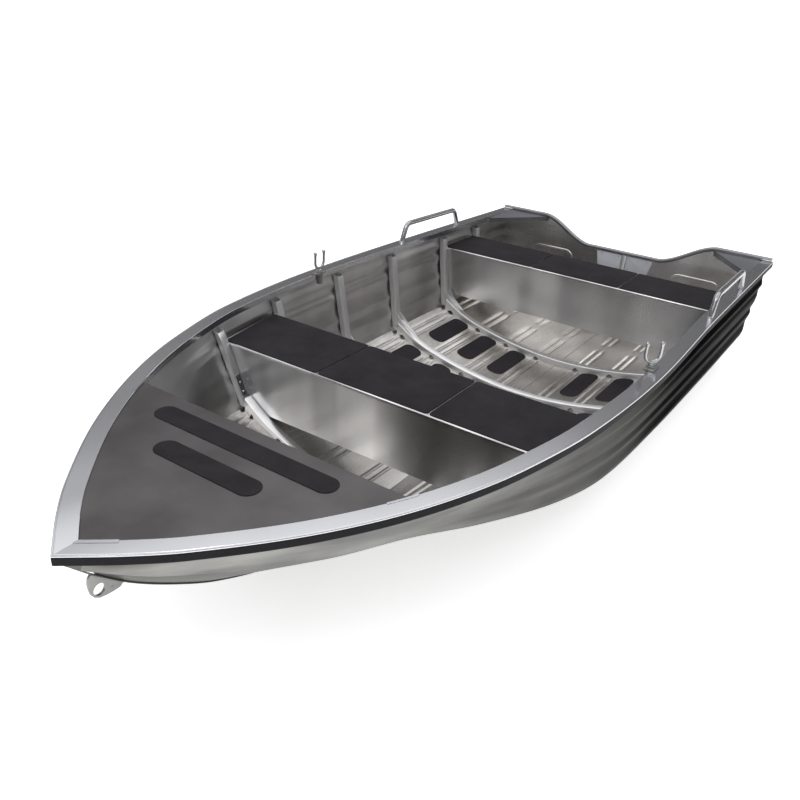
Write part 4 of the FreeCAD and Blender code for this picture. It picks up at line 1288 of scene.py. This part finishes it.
def make_motor_pads():
    """Plates for a motor's clamps: two in front, one behind, with their screws."""
    clamps = bmesh.new()
    screws = bmesh.new()
    high = cutout_height - CLAMP_DROP
    low = high - CLAMP_HEIGHT
    inset = CLAMP_SCREW_INSET
    for side in (-1.0, 1.0):
        near = BRACE_CENTRE + side * (BRACE_HALF + CLAMP_GAP)
        far = near + side * CLAMP_WIDTH
        trapezium = ((near, low), (far - side * CLAMP_SLANT, low), (far, high), (near, high))
        outline = rounded([Vector(spot) for spot in trapezium], 0.006, 4)
        add_plate(clamps, outline, on_front_face, CLAMP_THICKNESS, 0.0015)
        for out, rise in ((0.018, inset), (0.018, CLAMP_HEIGHT - inset), (0.120, CLAMP_HEIGHT - inset)):
            head = on_front_face(near + side * out, low + rise, CLAMP_THICKNESS)
            add_dome(screws, head, forward_way, 0.0036, 0.0018)
    finished("clamp_plates", clamps, clamp_plastic, "clamp_pad", ("transom_inner_pads",), angle=40.0)
    plate = bmesh.new()
    high = cutout_height - MOTOR_DROP
    outline = rounded(box(-MOTOR_HALF, high - MOTOR_HEIGHT, MOTOR_HALF, high), 0.008, 5)
    add_plate(plate, outline, on_back_face, CLAMP_THICKNESS, 0.0015)
    finished("motor_plate", plate, clamp_plastic, "clamp_pad", ("transom_outer_pad",), angle=40.0)
    inset = MOTOR_SCREW_INSET
    for x in (inset - MOTOR_HALF, MOTOR_HALF - inset):
        for z in (high - MOTOR_HEIGHT + inset, high - inset):
            add_dome(screws, on_back_face(x, z, CLAMP_THICKNESS), forward_way * -1.0, 0.0045, 0.0022)
    finished("plate_screws", screws, zinc_alloy, "hull_alloy", angle=50.0)


def make_ridges():
    """Fine ridge pressed round a panel on each side of the transom."""
    mesh = bmesh.new()
    near, low, far, high = RIDGE_BOX
    for side in (-1.0, 1.0):
        outline = rounded(box(side * near, low, side * far, high), RIDGE_CORNER, 10)
        rings = []
        for turn in steps(0.0, math.pi, 8):
            lift = TRANSOM_SHEET + RIDGE_LIFT * math.sin(turn)
            ring = shrunk(outline, RIDGE_HALF * math.cos(turn))
            rings.append([on_transom(spot.x, spot.y, lift) for spot in ring])
        add_loft(mesh, rings, caps=False, closed=True)
    finished("transom_swages", mesh, transom_alloy, "hull_alloy", angle=60.0)


def make_stern_welds():
    """Weld down each side of the transom, inside the hull."""
    mesh = bmesh.new()
    for side in (-1.0, 1.0):
        path = []
        for z in steps(chine_height(LENGTH) + 0.02, sheer_height(LENGTH) - 0.04, 12):
            station = transom_station(z, TRANSOM_SHEET + 0.002)
            path.append(at(side * (side_half(station, z) - 0.0015), station, z))
        add_bead(mesh, path, STERN_WELD)
    finished("stern_welds", mesh, weld_alloy, "hull_alloy", angle=50.0)


def make_knees():
    """Corner plate nearly level with the rail, turned down along its free edge."""
    mesh = bmesh.new()
    top = sheer_height(LENGTH) - CORNER_DROP
    aft = transom_station(top, TRANSOM_SHEET + GAP)
    outer_aft, outer_forward = [sheer_half(station) - (RAIL_WIDTH - CORNER_OVERLAP) * slant(station)
                                for station in (aft, CORNER_START)]
    inner = at(outer_aft - CORNER_ARM, aft, top)
    edge = (at(outer_forward - 0.012, CORNER_START, top), inner - Vector((0, 0.020, 0)))
    corners = [at(outer_aft, aft, top), at(outer_forward, CORNER_START, top), *edge, inner]
    add_prism(mesh, corners, Vector((0, 0, -CORNER_SHEET)))
    lip = Vector((0, 0, CORNER_LIP))
    add_prism(mesh, [*edge, edge[1] - lip, edge[0] - lip], Vector((0.002, 0.0025, 0)))
    both_sides("corner_plates", mesh, knee_alloy, "hull_alloy", "quarter_knee", bevel=0.0004)


# Fittings

def make_sockets():
    """Base plate with two rivets and a collar that goes on down as a tube."""
    mesh = bmesh.new()
    base = sheer_height(rowlock_station) + GAP
    centre = at(rowlock_half, rowlock_station, base)
    add_plate(mesh, rounded(box(-0.017, -0.031, 0.023, 0.031), 0.006, 5),
              lambda u, v, height: centre + Vector((u, v, height)), BASE_THICKNESS, 0.0008)
    bore, tube, depth = 0.0064, 0.0138, 0.046
    add_lathe_ring(mesh, [(0.015, 0.004), (0.015, 0.0115), (0.0142, 0.0126), (0.0128, COLLAR_RISE),
                          (0.0075, COLLAR_RISE), (bore, 0.0122), (bore, -depth), (tube, -depth),
                          (tube, -0.040), (tube, 0.004)], centre)
    for v in (-0.0235, 0.0235):
        add_dome(mesh, centre + Vector((0.003, v, BASE_THICKNESS)), Vector((0, 0, 1)), 0.0045, 0.0025)
    both_sides("socket_block", mesh, cast_alloy, "cast_alloy", "rowlock_socket", angle=40.0)


def make_rowlocks():
    """Pin with a flange, and a fork whose tips end in knobs; each side has its own heading."""
    base = sheer_height(rowlock_station) + GAP
    up = Vector((0, 0, 1))
    knob = [(0.0100, 0.0015), (0.0094, 0.0040), (0.0078, 0.0062), (0.0050, 0.0078), (0.0020, 0.0082),
            (-0.0010, 0.0080), (-0.0040, 0.0070), (-0.0070, 0.0062), (-0.0110, 0.0060)]
    for side, sign, heading in HEADINGS:
        mesh = bmesh.new()
        top = at(sign * rowlock_half, rowlock_station, base + COLLAR_RISE + GAP)
        add_lathe(mesh, [(0.0058, -0.0495), (0.00635, -0.0485), (0.00635, 0.0), (0.0105, 0.0),
                         (0.011, 0.0008), (0.011, 0.0042), (0.0098, 0.0052), (0.006, 0.0075),
                         (0.0045, 0.0085)], top)
        turn = math.radians(heading)
        way = Vector((-math.sin(turn), math.cos(turn), 0.0))
        tips = [(HORN_TIP + rise, radius) for rise, radius in knob]
        path = [top - way * HORN_HALF + up * rise for rise, radius in tips]
        for angle in steps(math.pi, 2.0 * math.pi, 28):
            path.append(top + up * HORN_CENTRE + (way * math.cos(angle) + up * math.sin(angle)) * HORN_HALF)
        path += [top + way * HORN_HALF + up * rise for rise, radius in tips[::-1]]
        ends = [radius for rise, radius in tips]
        add_rod(mesh, path, ends + [HORN_RADIUS] * 29 + ends[::-1], 20)
        finished("rowlock_horns_" + side, mesh, zinc_alloy, "zinc_steel", ("rowlock_" + side,),
                 "rowlock_" + side, angle=50.0)


def make_handles():
    """Bent tube on the rail, its legs leaning in, with a weld round each foot."""
    feet = []
    for station in HANDLE_STATIONS:
        normal = sheer_normal(station)
        feet.append(at(sheer_half(station) - HANDLE_INSET / normal.x, station, sheer_height(station) + GAP))
    up = Vector((0, 0, 1))
    way = (feet[1] - feet[0]).normalized()
    rise = up * HANDLE_HEIGHT
    lean = way * HANDLE_LEAN
    heads = (feet[0] + rise + lean, feet[1] + rise - lean)
    line = [feet[0] + up * 0.0005, feet[0] + up * 0.003]
    for before, corner, after in ((feet[0], heads[0], heads[1]), (heads[0], heads[1], feet[1])):
        line += bend(before, corner, after, HANDLE_BEND, 14)
    line += [feet[1] + up * 0.003, feet[1] + up * 0.0005]
    path = []
    for start, end in zip(line, line[1:]):
        count = max(int((end - start).length / 0.030), 1)
        path += [start.lerp(end, number / count) for number in range(count)]
    path.append(line[-1])
    mesh = bmesh.new()
    add_rod(mesh, path, HANDLE_RADIUS, 28)
    for foot in feet:
        add_lathe(mesh, [(0.0146, 0.0), (0.0152, 0.0008), (0.0150, 0.0022), (0.0140, 0.0034),
                         (0.0120, 0.0044)], foot)
    both_sides("hand_rail", mesh, tube_alloy, "tube_alloy", "grab_handle", angle=50.0)


def reach_on(eye, ray):
    """Distance from the eye to the lug's outline along a ray."""
    outline = [Vector(knot) for knot in LUG_KNOTS]
    best = 0.2
    tiny = 1e-9
    slack = 1e-6
    for first, second in zip(outline, outline[1:] + outline[:1]):
        side = second - first
        cross = ray.x * side.y - ray.y * side.x
        if abs(cross) < tiny:
            continue
        gap = first - eye
        distance = (gap.x * side.y - gap.y * side.x) / cross
        share = (gap.x * ray.y - gap.y * ray.x) / cross
        if distance > 0 and -slack <= share <= 1.0 + slack:
            best = min(best, distance)
    return best


def make_lug():
    """Lug with a large eye and a small rivet under the stem, and its weld."""
    front, aft = LUG_STATIONS
    start = at(0.0, front, keel_height(front))
    way = (at(0.0, aft, keel_height(aft)) - start).normalized()
    out = Vector((0.0, way.z, -way.y))
    eye = Vector(LUG_EYE)
    rim = LUG_EYE_RADIUS + 0.0006
    half = LUG_HALF
    mesh = bmesh.new()
    sections = []
    for across, up in spokes(72):
        ray = Vector((across, up))
        edge = ray * reach_on(eye, ray)
        profile = ((edge, -0.8 * half), (edge * 0.97, -half), (ray * rim, -half),
                   (ray * LUG_EYE_RADIUS, -0.85 * half), (ray * LUG_EYE_RADIUS, 0.85 * half),
                   (ray * rim, half), (edge * 0.97, half), (edge, 0.8 * half))
        section = []
        for reach, x in profile:
            spot = eye + reach
            section.append(start + way * spot.x + out * spot.y + Vector((x, 0, 0)))
        sections.append(section)
    add_loft(mesh, sections, caps=False, closed=True)
    trim = bmesh.new()
    small = start + way * 0.090 + out * 0.022
    for side in (-1.0, 1.0):
        add_dome(trim, small + Vector((side * half, 0, 0)), Vector((side, 0, 0)), 0.005, 0.0012)
    bead = [start + way * share + out * LUG_LIFT for share in steps(0.0, 0.117, 4)]
    for side in (-0.0045, 0.0045):
        add_bead(trim, [spot + Vector((side, 0, 0)) for spot in bead], LUG_WELD)
    finished("towing_lug", mesh, cast_alloy, "cast_alloy", ("bow_eye",), angle=40.0)
    finished("lug_weld", trim, cast_alloy, "cast_alloy", angle=50.0)


def make_joint_marks():
    """Thin trim on the inner edge of the rail, at the deck's nose and at its after corners."""
    mesh = bmesh.new()
    inner = RAIL_WIDTH + 0.0006
    rise = 0.0020
    for side in (-1.0, 1.0):
        for start, end, width in ((None, 0.088, 0.011), (0.606, DECK_AFT - 0.004, 0.006)):
            wide = RAIL_WIDTH - width
            profile = []
            for inset, drop in ((wide, 0.0), (inner, 0.0), (inner, -rise), (wide, -rise)):
                profile.append((mitre_station(inset) if start is None else start, inset, drop))
            sections = []
            for share in steps(0.0, 1.0, 10):
                section = []
                for first, inset, drop in profile:
                    spot = rail_point(mix(first, end, share), inset, drop)
                    if share == 0.0 and start is None:
                        spot.x = 0.0
                    section.append(Vector((side * spot.x, spot.y, spot.z)))
                sections.append(section)
            add_loft(mesh, sections)
    finished("deck_joints", mesh, rail_alloy, "gunwale_alloy", bevel=0.0003)


def make_keel():
    """Bar under the keel: a thin strip round the stem that deepens where the boat rests on it."""
    mesh = bmesh.new()
    heel = transom_station(keel_height(LENGTH), TRANSOM_SHEET + GAP) - 0.001
    start, length = KEEL_GROW
    sections = []
    for station in dense_stations(0.020, heel - 0.030, 140) + [heel]:
        down = Vector((0.0, slope_of(keel_height, station), -1.0)).normalized()
        base = at(0.0, station, keel_height(station) - GAP)
        grow = smooth_step((station - start) / length)
        half = mix(*KEEL_HALF, grow)
        depth = mix(*KEEL_DEPTH, grow) if station < heel else 0.003
        sections.append([base + Vector((x * half, 0.0, 0.0)) + down * (depth * reach) for x, reach in
                         ((-1.0, 0.0), (-1.0, 0.75), (-0.8, 1.0), (0.8, 1.0), (1.0, 0.75), (1.0, 0.0))])
    add_loft(mesh, sections)
    finished("keel_strip", mesh, stem_alloy, "hull_alloy", ("keel_bar",), angle=30.0)


def dress_nodes():
    """Materials of the solids that show as they are."""
    looks = {
        "stem_casting": stem_alloy,
        "bilge_runner_port": bottom_alloy, "bilge_runner_starboard": bottom_alloy,
    }
    for name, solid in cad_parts.items():
        solid.data.materials.clear()
        solid.data.materials.append(looks.get(name, frame_alloy))


# Studio

FLOOR_RADIUS = 44.0
FLOOR_GLOW = 0.65
WALL_BEND = 1.8
WALL_TOP = (45.9, 2.6)
WHITE = 0.8333
SKY_STRENGTH = 1.2
HORIZON = 0.05
# Height of the view's direction and the brightness there
SKY_LEVELS = (
    (0.0, 0.10), (0.28, 0.12), (0.42, 0.17), (0.57, 0.26), (0.61, 1.05), (0.78, 0.95), (1.0, 0.55),
)
SENSOR = 36.0
PICTURE_WIDTH = 800.0
FOCAL_PIXELS = 790.68
CAMERA_PLACE = (1.43351464, -2.61144423, 1.75378468)
CAMERA_TURN = (-33.337, -27.434, 3.208)


def looking_rays(tree):
    """Camera rays, and the glossy and transmission rays that show the background in metal and glass."""
    path = node(tree, "LightPath").outputs
    mirrors = combined(tree, "MAXIMUM", path["Is Glossy Ray"], path["Is Transmission Ray"])
    return path["Is Camera Ray"], mirrors


def make_stage():
    """Round floor that turns up into a low wall far away."""
    mesh = bmesh.new()
    rows = [(0.05, 0.0), (3.0, 0.0), (10.0, 0.0), (FLOOR_RADIUS, 0.0)]
    for share in steps(0.1, 1.0, 9):
        turn = math.pi / 2 * share
        rows.append((FLOOR_RADIUS + WALL_BEND * math.sin(turn), WALL_BEND - WALL_BEND * math.cos(turn)))
    rows.append(WALL_TOP)
    sections = [circle(Vector((0, 0, height)), Vector((1, 0, 0)), Vector((0, 1, 0)), radius, 64)
                for radius, height in rows]
    mesh.faces.new(add_loft(mesh, sections, caps=False)[0])
    data = bpy.data.meshes.new("studio_floor")
    mesh.to_mesh(data)
    mesh.free()
    data.shade_smooth()
    floor = bpy.data.objects.new("studio_floor", data)
    bpy.context.collection.objects.link(floor)
    material, tree, surface = shader("studio_floor", (0.92, 0.92, 0.92), 0.9, 0.0)
    surface.inputs["Specular IOR Level"].default_value = 0.0
    camera, mirrors = looking_rays(tree)
    glow = combined(tree, "MULTIPLY", combined(tree, "MAXIMUM", camera, mirrors), FLOOR_GLOW)
    surface.inputs["Emission Color"].default_value = (1.0, 1.0, 1.0, 1.0)
    fill(tree, surface.inputs["Emission Strength"], glow)
    data.materials.append(material)


def add_lamp(name, place, target, width, height, radiance):
    """Soft box of an even brightness."""
    data = bpy.data.lights.new(name, "AREA")
    data.shape = "RECTANGLE"
    data.size = width
    data.size_y = height
    data.energy = radiance * math.pi * width * height
    lamp = bpy.data.objects.new(name, data)
    lamp.location = place
    lamp.visible_camera = False
    lamp.rotation_euler = (Vector(target) - Vector(place)).to_track_quat("-Z", "Y").to_euler()
    bpy.context.collection.objects.link(lamp)


def make_light():
    """Studio sky, white where the background is seen, and two soft boxes."""
    world = bpy.data.worlds.new("studio")
    bpy.context.scene.world = world
    world.use_nodes = True
    tree = world.node_tree
    back = tree.nodes["Background"]
    height = parts_of(tree, "Generated")["Z"]
    sky = ramped(tree, height, [(stop, (level, level, level * 1.01)) for stop, level in SKY_LEVELS])
    camera, mirrors = looking_rays(tree)
    low = combined(tree, "LESS_THAN", height, HORIZON)
    seen = combined(tree, "MAXIMUM", camera, combined(tree, "MULTIPLY", mirrors, low))
    fill(tree, back.inputs["Color"], blended(tree, "MIX", seen, sky, (WHITE,) * 3))
    back.inputs["Strength"].default_value = SKY_STRENGTH
    add_lamp("key_box", (0.8, -3.6, 5.0), (0.0, 0.0, 0.2), 3.0, 2.0, 2.4)
    add_lamp("stern_box", (-1.2, 1.9, 6.4), (0.0, 0.4, 0.2), 3.0, 1.6, 1.3)


def make_camera():
    data = bpy.data.cameras.new("camera")
    data.sensor_fit = "HORIZONTAL"
    data.sensor_width = SENSOR
    data.lens = SENSOR * FOCAL_PIXELS / PICTURE_WIDTH
    data.clip_start = 0.05
    camera = bpy.data.objects.new("camera", data)
    bpy.context.collection.objects.link(camera)
    yaw, pitch, roll = [math.radians(turn) for turn in CAMERA_TURN]
    ahead = Vector((math.sin(yaw) * math.cos(pitch), math.cos(yaw) * math.cos(pitch), math.sin(pitch)))
    level = Vector((math.cos(yaw), -math.sin(yaw), 0.0))
    raised = level.cross(ahead)
    right = level * math.cos(roll) + raised * math.sin(roll)
    up = raised * math.cos(roll) - level * math.sin(roll)
    rows = [[right[row], up[row], -ahead[row], CAMERA_PLACE[row]] for row in range(3)]
    camera.matrix_world = Matrix(rows + [[0.0, 0.0, 0.0, 1.0]])
    bpy.context.scene.camera = camera


make_camera()
make_light()
make_stage()
dress_nodes()
make_sides()
make_bottoms()
make_rails()
make_rail_lips()
make_bands()
make_deck()
make_deck_strips()
make_joint_marks()
make_thwart("front_thwart", FRONT_THWART)
make_thwart("rear_thwart", REAR_THWART)
make_ribs()
make_rib_welds()
make_splices()
make_floor_seam()
make_frames()
make_gussets()
make_floor_pads()
make_transom()
make_capping()
make_brace()
make_motor_pads()
make_ridges()
make_stern_welds()
make_knees()
make_sockets()
make_rowlocks()
make_handles()
make_lug()
make_keel()

bpy.context.scene.view_settings.view_transform = "Standard"
